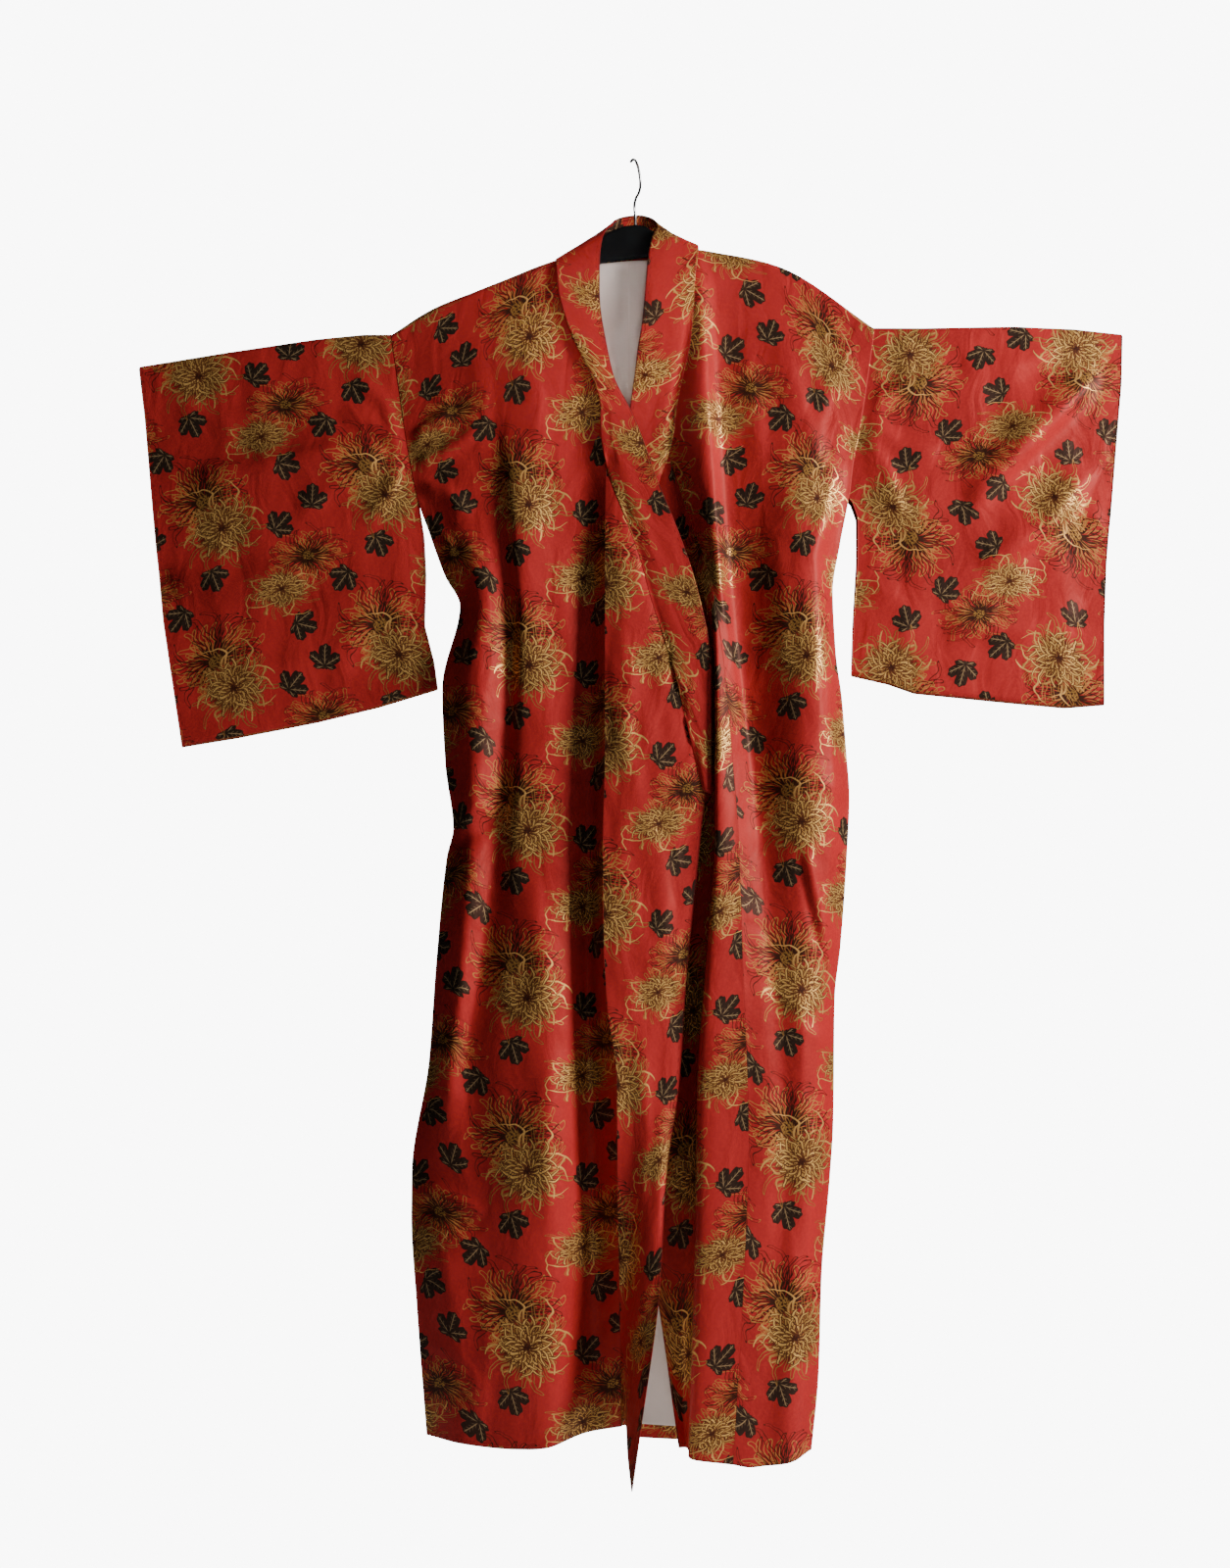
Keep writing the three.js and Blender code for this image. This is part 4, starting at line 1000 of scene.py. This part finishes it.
def make_stitches():
    """Hand stitches at an even distance from a folded edge, in metres."""
    w, (cloth, hem, inset, length, pitch) = new_group("Edge Stitches", {
        "Cloth": None, "Hem": 1.0, "Inset": 0.004, "Length": 0.004, "Pitch": 0.012})
    u, v = runs(w, cloth)
    on = (u + v).do("PINGPONG", pitch / 2.0).do("LESS_THAN", length / 2.0)
    return w.give(Stitch=on * (1.0 - (hem - inset).do("ABSOLUTE").step(0.0003, 0.0007)))


# ---- materials ----
# painted shade: how far in from a folded hem and from a seam the colour darkens, in metres
HEM_SHADE_WIDTH = 0.0022
SEAM_SHADE_WIDTH = 0.002
RED_LIGHT = (0.62, 0.04, 0.03, 1.0)
# the colour of the painted shade along the hems and seams
SEAM_SHADE = (0.09, 0.004, 0.006, 1.0)
STITCH_RED = (0.16, 0.01, 0.012, 1.0)
SHEEN_RED = (1.0, 0.2, 0.12, 1.0)
GLOSS_RED = (1.0, 0.34, 0.24, 1.0)
LINING_GREY = (0.6, 0.57, 0.53, 1.0)
LOOSE_THREADS = (0.1, 0.035, 0.02, 1.0)
PLASTIC_WEAR = (0.004, 0.005, 0.006, 1.0)
WIRE_SHADE = (0.34, 0.34, 0.35, 1.0)


def shader(name):
    """A new material with its wiring, its Principled shader and its output joined."""
    made = bpy.data.materials.new(name)
    made.use_nodes = True
    made.node_tree.nodes.clear()
    w = Wiring(made.node_tree)
    surface = w.node("ShaderNodeBsdfPrincipled")
    w.node("ShaderNodeOutputMaterial", Surface=Value(w, surface.outputs[0]))
    return made, w, surface


def cloth_shader(name, pitch=0.45, slant=0.35):
    """The same for cloth, with its run and the outputs of its weave."""
    made, w, surface = shader(name)
    cloth = w.get("ShaderNodeUVMap", 0, {"uv_map": "Cloth"})
    weave = w.group(bpy.data.node_groups["Thread Weave"], Cloth=cloth, Pitch=pitch, Slant=slant)
    return made, w, surface, cloth, weave


def dress(w, surface, colour, rough, height, strength, distance):
    """Joins a colour, a roughness and a bump to the Principled shader."""
    w.feed(surface.inputs["Base Color"], colour)
    w.feed(surface.inputs["Roughness"], rough)
    normal = w.get("ShaderNodeBump", Strength=strength, Distance=distance, Height=height)
    w.feed(surface.inputs["Normal"], normal)


def rgba(colour):
    return (*colour, 1.0)


def set_inputs(surface, **values):
    for name, value in values.items():
        surface.inputs[name.replace("_", " ")].default_value = value


def brocade_material(sizes, colours):
    made, w, surface, cloth, weave = cloth_shader("Red Brocade")
    pattern = w.group(make_brocade_pattern(sizes), Cloth=cloth)
    hem, seam = (w.get("ShaderNodeAttribute", "Fac", {"attribute_name": name})
                 for name in ("hem", "seam"))
    stitch = w.group(bpy.data.node_groups["Edge Stitches"], Cloth=cloth, Hem=hem)["Stitch"]
    gold, tone = pattern["Gold"], weave["Tone"]
    # painted shade: the colour darkens within a few millimetres of the folded hems and, faintly, of
    # the seams
    painted_hem_shade = (1.0 - hem.step(0.0, HEM_SHADE_WIDTH)) * 0.6
    painted_seam_shade = (1.0 - seam.step(0.0, SEAM_SHADE_WIDTH)) * 0.08
    colour = rgba(colours.ground)
    for mask, over in (
            (w.noise(cloth, 7.0, 3.0).step(0.35, 0.7), rgba(colours.ground_deep)),
            (tone.step(0.35, 0.75) * 0.22, RED_LIGHT),
            (pattern["Copper"], rgba(colours.copper)),
            (pattern["Leaf"], w.colour(pattern["Vein"], rgba(colours.leaf), rgba(colours.vein))),
            (pattern["Dark"], rgba(colours.dark)),
            (gold, w.colour(pattern["Shade"], rgba(colours.gold), rgba(colours.gold_light))),
            (painted_hem_shade.do("MAXIMUM", painted_seam_shade), SEAM_SHADE),
            (stitch * 0.8, STITCH_RED)):
        colour = w.colour(mask, colour, over)
    w.feed(surface.inputs["Metallic"], (gold * 0.5).do("MAXIMUM", pattern["Vein"] * 0.2))
    rough = w.mix(pattern["Leaf"], w.mix(gold, tone * 0.14 + 0.42, 0.40), 0.5)
    longer = w.get("ShaderNodeMapping", Vector=cloth, Scale=(1.0, 0.55, 1.0))
    rumple = w.noise(longer, 34.0, 3.0, Roughness=0.45, Distortion=0.6)
    height = weave["Height"] * 0.05 + (gold * 0.35 + pattern["Dark"] * 0.15) + rumple * 9.0
    dress(w, surface, colour, rough, height, 0.35, 0.0006)
    set_inputs(surface, Sheen_Weight=0.04, Sheen_Roughness=0.4, Sheen_Tint=SHEEN_RED,
               Specular_IOR_Level=0.3, Specular_Tint=GLOSS_RED)
    return made


def lining_material(sizes, colours):
    made, w, surface, cloth, weave = cloth_shader("White Lining", 0.6, 0.0)
    tone = w.colour(w.noise(cloth, 11.0, 3.0).step(0.3, 0.75), rgba(colours.lining),
                    rgba(colours.lining_shade))
    tone = w.colour(weave["Tone"] * 0.12, tone, LINING_GREY)
    dress(w, surface, tone, weave["Tone"] * 0.2 + 0.5, weave["Height"], 0.3, 0.0004)
    set_inputs(surface, Sheen_Weight=0.1)
    return made


def reverse_material(sizes, colours):
    """The inside of the sleeves: the brocade's dull wrong side."""
    made, w, surface, cloth, weave = cloth_shader("Brocade Wrong Side", 0.8, 0.1)
    floats = w.noise(cloth, 42.0, 5.0, Roughness=0.7)
    tone = w.colour(floats.step(0.5, 0.62), rgba(colours.ground_deep), LOOSE_THREADS)
    dress(w, surface, tone, weave["Tone"] * 0.15 + 0.6, weave["Height"], 0.4, 0.0005)
    return made


def plastic_material(sizes, colours):
    made, w, surface = shader("Hanger Plastic")
    place = w.get("ShaderNodeTexCoord", "Object")
    grain, wear = w.noise(place, 900.0, 2.0, "3D"), w.noise(place, 38.0, 4.0, "3D")
    tone = w.colour(wear.step(0.35, 0.75), rgba(colours.plastic), PLASTIC_WEAR)
    dress(w, surface, tone, wear * 0.2 + 0.5, grain, 0.12, 0.0003)
    set_inputs(surface, Specular_IOR_Level=0.1)
    return made


def wire_material(sizes, colours):
    made, w, surface = shader("Plated Wire")
    drawn = w.noise(w.get("ShaderNodeTexCoord", "Object"), 300.0, 3.0, "3D")
    tone = w.colour(drawn.step(0.3, 0.8), rgba(colours.wire), WIRE_SHADE)
    dress(w, surface, tone, drawn * 0.16 + 0.2, drawn, 0.08, 0.0002)
    set_inputs(surface, Metallic=1.0)
    return made


MAKERS = {
    "Red Brocade": brocade_material,
    "White Lining": lining_material,
    "Brocade Wrong Side": reverse_material,
    "Hanger Plastic": plastic_material,
    "Plated Wire": wire_material,
}


def material(name):
    """A material by name, made with the shared groups when it is first asked for."""
    if name in bpy.data.materials:
        return bpy.data.materials[name]
    if "Thread Weave" not in bpy.data.node_groups:
        make_thread_weave()
        make_stitches()
    scene = bpy.context.scene
    return MAKERS[name](scene.kimono_sizes, scene.kimono_colours)


def finish_cloth(piece, node):
    """Joins a sheet to the root body and hides the solid that it dresses."""
    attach(piece, "root")
    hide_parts(node)


# ---- settings ----
def length_property(name, description, default, low, high):
    return bpy.props.FloatProperty(name=name, description=description, default=default, min=low,
                                   max=high, subtype="DISTANCE", unit="LENGTH")


class KimonoSizes(bpy.types.PropertyGroup):
    """Sizes of the cloth that a user would change."""

    cloth_thickness: length_property(
        "Cloth Thickness", "Thickness of the lined brocade at its edges", 0.0015, 0.0005, 0.003)
    collar_thickness: length_property(
        "Collar Thickness", "Thickness of the folded collar band", 0.0019, 0.001, 0.005)
    lining_thickness: length_property(
        "Lining Thickness", "Thickness of the back lining", 0.0009, 0.0003, 0.002)
    crease_depth: bpy.props.FloatProperty(
        name="Crease Depth", description="How strongly the creases are pressed, as a factor",
        default=1.0, min=0.0, max=1.5, subtype="FACTOR")
    repeat_width: length_property(
        "Repeat Width", "Width of the woven pattern's repeat", 0.218, 0.1, 0.4)
    repeat_height: length_property(
        "Repeat Height", "Height of the woven pattern's repeat", 0.212, 0.1, 0.4)
    repeat_drop: length_property(
        "Repeat Drop", "How far the pattern rises from one column to the next", 0.012, -0.1, 0.1)
    wire_diameter: length_property(
        "Wire Diameter", "Diameter of the hook's wire", 0.0035, 0.002, 0.006)


def colour_property(name, description, value):
    return bpy.props.FloatVectorProperty(name=name, description=description, default=value,
                                         size=3, min=0.0, max=1.0, subtype="COLOR")


class KimonoColours(bpy.types.PropertyGroup):
    """Colours of the threads, the lining and the hanger."""

    ground: colour_property("Ground", "Red satin ground", (0.43, 0.024, 0.025))
    ground_deep: colour_property("Deep Ground", "Deeper red of the ground", (0.34, 0.0175, 0.019))
    gold: colour_property("Gold", "Gold thread", (0.23, 0.092, 0.018))
    gold_light: colour_property("Light Gold", "Lighter gold thread", (0.87, 0.51, 0.15))
    copper: colour_property("Copper", "Thin copper thread", (0.46, 0.19, 0.05))
    dark: colour_property("Dark Thread", "Blackish brown thread", (0.030, 0.010, 0.006))
    leaf: colour_property("Leaf", "Dark thread of the leaves", (0.020, 0.014, 0.010))
    vein: colour_property("Vein", "Pale thread of the veins", (0.34, 0.22, 0.11))
    lining: colour_property("Lining", "White lining", (0.90, 0.80, 0.74))
    lining_shade: colour_property("Lining Shade", "Greyer lining", (0.80, 0.69, 0.63))
    plastic: colour_property("Plastic", "Hanger plastic", (0.002, 0.0025, 0.003))
    wire: colour_property("Wire", "Plated wire", (0.62, 0.62, 0.63))


# ---- the body panels ----
FLATTER = np.array([1.0, 0.35, 1.0])   # the pattern is hardly squeezed on steep cloth
UPRIGHT = np.array([0.0, 1.0, 1.0])
FRONT_SHARES = shares_down((ARMHOLE, 40), (SLIT_END, 24), (1.0, 170))
BACK_SHARES = shares_down((NECK_END, 10), (ARMHOLE, 22), (SLIT_END, 18), (1.0, 120))
OVERLAP_SHARES = shares_down((0.3, 60), (1.0, 150))


def press_front(front, side, seam_side, depth):
    """Presses the creases into a body panel's front."""
    x, z = front[..., 0], front[..., 2]
    push = crease_height(x, z, CREASES[f"body_{side}"], depth)
    push = push + depth * 1.3 * ripple(x, z, 11 + seam_side, 62)
    push = push + depth * 0.5 * ripple(z, x, 15 + seam_side, 34)
    push = push * window(share_across(front), 12, 9) * below(z, CREASES_START, 160)
    if seam_side > 0:  # the side stands forward, and turns in close to its seam
        outward = smooth((x - 135) / 105) * smooth((front[:, :1, 0] - x) / 26)
        middle = below(z, 380, 180) * (1 - 0.45 * below(z, 860, 160))
        push = push + SIDE_FORWARD * outward * middle
    front[..., 1] -= push


def press_back(back, seam_side, depth):
    """Presses the creases into a body panel's back."""
    x, z = back[..., 0], back[..., 2]
    push = crease_height(x, z, CREASES["back"], depth)
    push = push + depth * 1.4 * ripple(x, z, 23 + seam_side, 75)
    back[..., 1] += push * window(share_across(back), 10, 10) * below(z, CREASES_START, 200)


def body_pattern(grid, v, shoulder, seam_side, motifs, front_rows):
    """The runs of the weave on a body panel, with its large motifs in their places."""
    # the grain hangs down the line of the large motifs
    table = np.array(motifs, float)
    flat_u = arc_lengths(grid * FLATTER)[0]
    aside = (grid[..., 0] - np.interp(-grid[..., 2], -table[:, 0], table[:, 1])) * -seam_side
    zero = np.array([np.interp(0, row, run) for row, run in zip(aside, flat_u)])
    run_u = (flat_u - zero[:, None]) * -seam_side
    # the pattern follows the sloping shoulder, and hangs level below it
    away, top = v - v[shoulder], grid[shoulder, :, 2]
    fall = arc_lengths(grid * UPRIGHT)[1]
    away[shoulder:] = fall[shoulder:] - fall[shoulder]
    run_v = -(away + np.sign(away) * (top.mean() - top) * smooth(np.abs(away) / 330))
    z, x = motifs[3]
    return run_u, lay_pattern(grid, run_u, run_v, (x, z), rows=slice(0, front_rows))[1]


def lined_rows(grid):
    """Which rows of cells lie above the turned-up hem."""
    return grid[:-1, :, 2].mean(axis=1) >= BACK_HEM_Z + LINING_UP


def body_panel(side, lines, seam_side, motifs):
    """Makes one body panel, from its front hem over the shoulder to its back hem."""
    sizes = bpy.context.scene.kimono_sizes
    front, ridge, back = body_grid(lines, seam_side, FRONT_SHARES, BACK_SHARES)
    press_front(front, side, seam_side, sizes.crease_depth)
    press_back(back, seam_side, sizes.crease_depth)
    grid = close_edges(np.concatenate([front[::-1], ridge, back]))
    u, v = arc_lengths(grid)
    uv = body_pattern(grid, v, len(front) + len(ridge) // 2, seam_side, motifs, len(front))
    return sheet_mesh(
        f"cloth_body_{side}", grid, sizes.cloth_thickness, -seam_side, uv,
        edge_distance(u, v, "top", "bottom"), edge_distance(u, v, "left", "right"),
        ("Red Brocade", "White Lining"), lined=lined_rows(grid))


class KIMONO_OT_body(bpy.types.Operator):
    """Makes the two body panels"""

    bl_idname = "kimono.body"
    bl_label = "Body Panels"

    def execute(self, context):
        left = body_panel("left", LEFT_FRONT, -1, LEFT_MOTIFS)
        finish_cloth(left, "body_left")
        right = body_panel("right", RIGHT_FRONT, 1, RIGHT_MOTIFS)
        finish_cloth(right, "body_right")
        return {"FINISHED"}


# ---- the other pieces of cloth ----
def overlap_panel(side, grid, outside, anchor):
    """Makes one overlap panel, with gold chrysanthemum B at anchor [x, z]."""
    grid = close_edges(grid)
    u, v = arc_lengths(grid)
    uv = lay_pattern(grid, u * -outside, v, anchor, GOLD_B)
    return sheet_mesh(
        f"cloth_okumi_{side}", grid, bpy.context.scene.kimono_sizes.cloth_thickness, outside, uv,
        edge_distance(u, v, "right", "bottom"), edge_distance(u, v, "left"),
        ("Red Brocade", "White Lining"), lined=lined_rows(grid))


class KIMONO_OT_overlaps(bpy.types.Operator):
    """Makes the two overlap panels at the front"""

    bl_idname = "kimono.overlaps"
    bl_label = "Overlap Panels"

    def execute(self, context):
        depth = context.scene.kimono_sizes.crease_depth
        left = overlap_grid(LEFT_FRONT, LEFT_OVERLAP, 1, 10)
        x, z = left[..., 0], left[..., 2]
        push = crease_height(x, z, CREASES["okumi_left"], depth) + depth * ripple(x, z, 31, 48)
        inside = window(np.linspace(0, 1, left.shape[1])[None, :], 8, 10)
        left[..., 1] -= push * inside * below(z, 560, 160)
        piece = overlap_panel("left", left, -1, (26, -1108))
        finish_cloth(piece, "okumi_left")
        right = overlap_grid(RIGHT_FRONT, RIGHT_OVERLAP, -1, 12)
        piece = overlap_panel("right", right, 1, (112, -1212))
        finish_cloth(piece, "okumi_right")
        return {"FINISHED"}


class KIMONO_OT_sleeves(bpy.types.Operator):
    """Makes the two hanging sleeves"""

    bl_idname = "kimono.sleeves"
    bl_label = "Sleeves"

    def execute(self, context):
        rows = (("left", LEFT_FRONT, LEFT_SLEEVE, (-542, -502), -1),
                ("right", RIGHT_FRONT, RIGHT_SLEEVE, (549, -463), 1))
        for side, lines, form, anchor, sign in rows:
            back = [([(x * -sign, z) for x, z in route], *values)
                    for route, *values in CREASES["sleeve_back"]]
            grid, front_rows = sleeve_grid(lines, form, CREASES[f"sleeve_{side}"], back)
            u, v = arc_lengths(grid)
            uv = lay_pattern(grid, u * sign, v[front_rows + 3] - v, anchor, turn=sign > 0,
                             rows=slice(0, front_rows))
            piece = sheet_mesh(
                f"cloth_sleeve_{side}", grid, context.scene.kimono_sizes.cloth_thickness, sign,
                uv, edge_distance(u, v, "right"), edge_distance(u, v, "left"),
                ("Red Brocade", "Brocade Wrong Side"), lined=1, looped=True)
            finish_cloth(piece, f"sleeve_{side}")
        return {"FINISHED"}


def surface_of(*names):
    """A tree for finding the cloth of the named pieces, in millimetres."""
    points, faces = [], []
    for name in names:
        mesh = bpy.data.objects[name].data
        base = len(points)
        points += [vertex.co / MM for vertex in mesh.vertices]
        faces += [[base + k for k in polygon.vertices] for polygon in mesh.polygons]
    return BVHTree.FromPolygons(points, faces)


def rise_over_cloth(grid, sewn_edge, sections, lift):
    """How far each point of the collar has to move to lie on the fronts, forward as minus."""
    left = surface_of("cloth_body_left", "cloth_okumi_left")
    right = surface_of("cloth_body_right", "cloth_okumi_right")
    wanted = np.zeros(grid.shape[:2])
    for i, row in enumerate(grid):
        tree = left if sections[i] < COLLAR_CENTRE else right
        for j, (x, y, z) in enumerate(row):
            if y > -4 or sewn_edge[i, 1] > -6:   # at the back of the neck
                continue
            hit = tree.ray_cast(Vector((x, RAY_START, z)), Vector((0, 1, 0)))[0]
            if hit is not None and hit.y < 4:
                wanted[i, j] = min(0.0, hit.y - lift - y)
    return wanted


class KIMONO_OT_collar(bpy.types.Operator):
    """Makes the collar band over the fronts and round the neck"""

    bl_idname = "kimono.collar"
    bl_label = "Collar"

    def execute(self, context):
        sizes = context.scene.kimono_sizes
        table = np.array(COLLAR, float)
        sewn, free = table[:, :3], table[:, 3:]
        counts = [max(2, round(step / COLLAR_CELL))
                  for step in np.diff(running_length((sewn + free) / 2))]
        sewn, free = across(np.stack([sewn, free]), counts)
        share = shares_with_edges(13, COLLAR_EDGE)
        grid = sewn[:, None] + (free - sewn)[:, None] * share[None, :, None]
        sections = np.concatenate([np.linspace(i, i + 1, n, endpoint=False)
                                   for i, n in enumerate(counts)] + [[len(counts)]])
        lift = half_mm(sizes.collar_thickness) + half_mm(sizes.cloth_thickness)
        wanted = rise_over_cloth(grid, sewn, sections, lift + COLLAR_CLEARANCE)
        # the band is stiff: it rides over the highest of what is near
        over = np.min(near_cells(wanted, 4, 3), axis=0)
        over = np.mean(near_cells(over, 4, 2), axis=0)
        raised = smooth(share / COLLAR_RISE)[None, :]
        sewn_rise = wanted + COLLAR_LIFT * (wanted < 0)
        grid[..., 1] += lerp(sewn_rise, np.minimum(over, wanted), raised)
        u, v = arc_lengths(grid)
        # a soft crown across the band, and slight waves along it
        crown = np.sin(np.pi * share)[None, :] ** 0.7
        grid += grid_normals(grid) * (0.9 * crown + 0.5 * crown * ripple(v, u, 41, 60))[..., None]
        middle = v[np.searchsorted(sections, COLLAR_CENTRE)]
        uv = (u + COLLAR_RUNS[0], v - middle + COLLAR_RUNS[1])
        piece = sheet_mesh(
            "cloth_collar", grid, sizes.collar_thickness, 1, uv,
            edge_distance(u, v, "right", "top", "bottom"), edge_distance(u, v, "left"),
            ("Red Brocade",))
        finish_cloth(piece, "collar")
        return {"FINISHED"}


class KIMONO_OT_lining(bpy.types.Operator):
    """Makes the white lining inside the back"""

    bl_idname = "kimono.lining"
    bl_label = "Back Lining"

    def execute(self, context):
        sizes = context.scene.kimono_sizes
        shares = BACK_SHARES[BACK_SHARES >= NECK_END - 1e-9]
        left, right = (body_grid(lines, seam_side, FRONT_SHARES[:3], shares)[2]
                       for lines, seam_side in ((LEFT_FRONT, -1), (RIGHT_FRONT, 1)))
        centre = (left[:, -1:] + right[:, -1:]) / 2
        grid = np.concatenate([left[:, 6:-1], centre, right[:, 12:-1][:, ::-1]], axis=1)
        low = BACK_HEM_Z + LINING_UP
        grid = grid[grid[:, :, 2].mean(axis=1) > low]
        last = grid[-1].copy()
        last[:, 2] += low - last[:, 2].mean()
        grid = np.concatenate([grid, last[None]])
        grid[..., 1] -= (half_mm(sizes.cloth_thickness) + half_mm(sizes.lining_thickness)
                         + LINING_GAP)
        x, z = grid[..., 0], grid[..., 2]
        push = np.maximum(crease_height(x, z, CREASES["lining"]) + 1.0 + ripple(x, z, 53, 44), 0)
        grid[..., 1] -= push * window(np.linspace(0, 1, grid.shape[1])[None, :], 10, 10)
        u, v = arc_lengths(grid)
        piece = sheet_mesh(
            "cloth_lining_back", grid, sizes.lining_thickness, -1, (u, v),
            edge_distance(u, v, "left", "right", "bottom"), edge_distance(u, v, "top"),
            ("White Lining",))
        finish_cloth(piece, "lining_back")
        return {"FINISHED"}


# ---- the hanger and the studio ----
class KIMONO_OT_hanger(bpy.types.Operator):
    """Finishes the plastic hanger and makes its wire hook"""

    bl_idname = "kimono.hanger"
    bl_label = "Hanger and Hook"

    def execute(self, context):
        body = bpy.data.objects["hanger_body"]
        body.data.materials.clear()
        body.data.materials.append(material("Hanger Plastic"))
        bpy.ops.object.select_all(action="DESELECT")
        bpy.ops.curve.primitive_bezier_curve_add(location=(0, 0, 0))
        hook = context.active_object
        hook.name = "wire_hook"
        curve = hook.data
        spline = curve.splines[0]
        spline.bezier_points.add(len(HOOK_ROUTE) - 2)
        for point, (along, z) in zip(spline.bezier_points, HOOK_ROUTE):
            point.co = Vector((along * math.cos(HOOK_TURN), along * math.sin(HOOK_TURN), z)) * MM
            point.handle_left_type = point.handle_right_type = "AUTO"
        curve.dimensions = "3D"
        curve.resolution_u = 10
        curve.bevel_depth = context.scene.kimono_sizes.wire_diameter / 2
        curve.bevel_resolution = 5
        curve.use_fill_caps = True
        bpy.ops.object.convert(target="MESH")
        hook = context.active_object
        bpy.ops.object.shade_smooth_by_angle(angle=math.radians(50))
        hook.data.materials.append(material("Plated Wire"))
        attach(hook, "root")
        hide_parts("hanger_hook")
        return {"FINISHED"}


FLOOR_GREY = (0.9, 0.9, 0.9, 1.0)
WALL_WHITE = (1.0, 1.0, 1.0, 1.0)
AIR_BLUE = (0.93, 0.96, 1.0, 1.0)
CAMERA_PLACE = (-0.0269, -2.51175, -1.12418)
CAMERA_TILT = math.radians(96.5)
# Each area light's name, place, aim, size (m), power (W), spread (degrees) and colour.
LIGHTS = (
    ("key_light", (2.4, -1.15, 0.1), (0.0, 0.0, -0.66), 0.7, 124, 180, (1.0, 0.98, 0.95)),
    ("fill_light", (0.6, -3.2, -0.2), (0.0, 0.0, -0.9), 2.2, 2.8, 180, (0.95, 0.97, 1.0)),
    ("neck_light", (0.12, -1.7, -0.05), (-0.01, 0.0, -0.23), 0.25, 0.08, 9, (1.0, 0.86, 0.8)),
    ("back_light", (0.3, 3.2, 0.4), (0.0, 0.0, -0.85), 2.0, 110, 180, (1.0, 0.99, 0.97)),
)


class KIMONO_OT_stage(bpy.types.Operator):
    """Makes the floor, the lights and the camera"""

    bl_idname = "kimono.stage"
    bl_label = "Studio"

    def execute(self, context):
        scene = context.scene
        bpy.ops.object.select_all(action="DESELECT")
        bpy.ops.mesh.primitive_plane_add(size=2.6, location=(0, -1.02, -1.95))
        floor = context.active_object
        floor.name = "studio_floor"
        pale, _, surface = shader("Pale Floor")
        set_inputs(surface, Base_Color=FLOOR_GREY, Roughness=0.9)
        floor.data.materials.append(pale)

        scene.world = bpy.data.worlds.new("Studio Air")
        scene.world.use_nodes = True
        scene.world.node_tree.nodes.clear()
        w = Wiring(scene.world.node_tree)
        seen = w.get("ShaderNodeBackground", Color=WALL_WHITE, Strength=9.0)
        lit = w.get("ShaderNodeBackground", Color=AIR_BLUE, Strength=0.017)
        both = w.node("ShaderNodeMixShader")
        ray = w.get("ShaderNodeLightPath", "Is Camera Ray")
        for socket, value in zip(both.inputs, (ray, lit, seen)):
            w.feed(socket, value)
        w.node("ShaderNodeOutputWorld", Surface=Value(w, both.outputs[0]))

        for name, place, aim, size, power, spread, colour in LIGHTS:
            data = bpy.data.lights.new(name, "AREA")
            data.size, data.energy, data.color = size, power, colour
            data.spread = math.radians(spread)
            lamp = bpy.data.objects.new(name, data)
            lamp.location = place
            lamp.rotation_euler = (Vector(aim) - Vector(place)).to_track_quat("-Z", "Y").to_euler()
            scene.collection.objects.link(lamp)

        lens = bpy.data.cameras.new("camera")
        lens.lens, lens.sensor_width, lens.sensor_fit = 45.0, 36.0, "AUTO"
        camera = bpy.data.objects.new("camera", lens)
        camera.location = CAMERA_PLACE
        camera.rotation_euler = (CAMERA_TILT, 0, 0)
        scene.collection.objects.link(camera)
        scene.camera = camera
        return {"FINISHED"}


class KIMONO_PT_panel(bpy.types.Panel):
    """Lists the pieces in the 3D view's sidebar"""

    bl_idname = "KIMONO_PT_panel"
    bl_label = "Kimono"
    bl_space_type = "VIEW_3D"
    bl_region_type = "UI"
    bl_category = "Kimono"

    def draw(self, context):
        for settings in (context.scene.kimono_sizes, context.scene.kimono_colours):
            box = self.layout.box()
            for name in settings.__annotations__:
                box.prop(settings, name)
        for operator in OPERATORS:
            self.layout.operator(operator.bl_idname)


OPERATORS = (KIMONO_OT_stage, KIMONO_OT_body, KIMONO_OT_overlaps, KIMONO_OT_sleeves,
             KIMONO_OT_collar, KIMONO_OT_lining, KIMONO_OT_hanger)
CLASSES = (KimonoSizes, KimonoColours) + OPERATORS + (KIMONO_PT_panel,)


def register():
    for item in CLASSES:
        bpy.utils.register_class(item)
    bpy.types.Scene.kimono_sizes = bpy.props.PointerProperty(type=KimonoSizes)
    bpy.types.Scene.kimono_colours = bpy.props.PointerProperty(type=KimonoColours)


def unregister():
    del bpy.types.Scene.kimono_colours
    del bpy.types.Scene.kimono_sizes
    for item in reversed(CLASSES):
        bpy.utils.unregister_class(item)


def main():
    register()
    bpy.ops.kimono.stage()
    bpy.ops.kimono.body()
    bpy.ops.kimono.overlaps()
    bpy.ops.kimono.sleeves()
    bpy.ops.kimono.collar()
    bpy.ops.kimono.lining()
    bpy.ops.kimono.hanger()


if __name__ == "__main__":
    main()
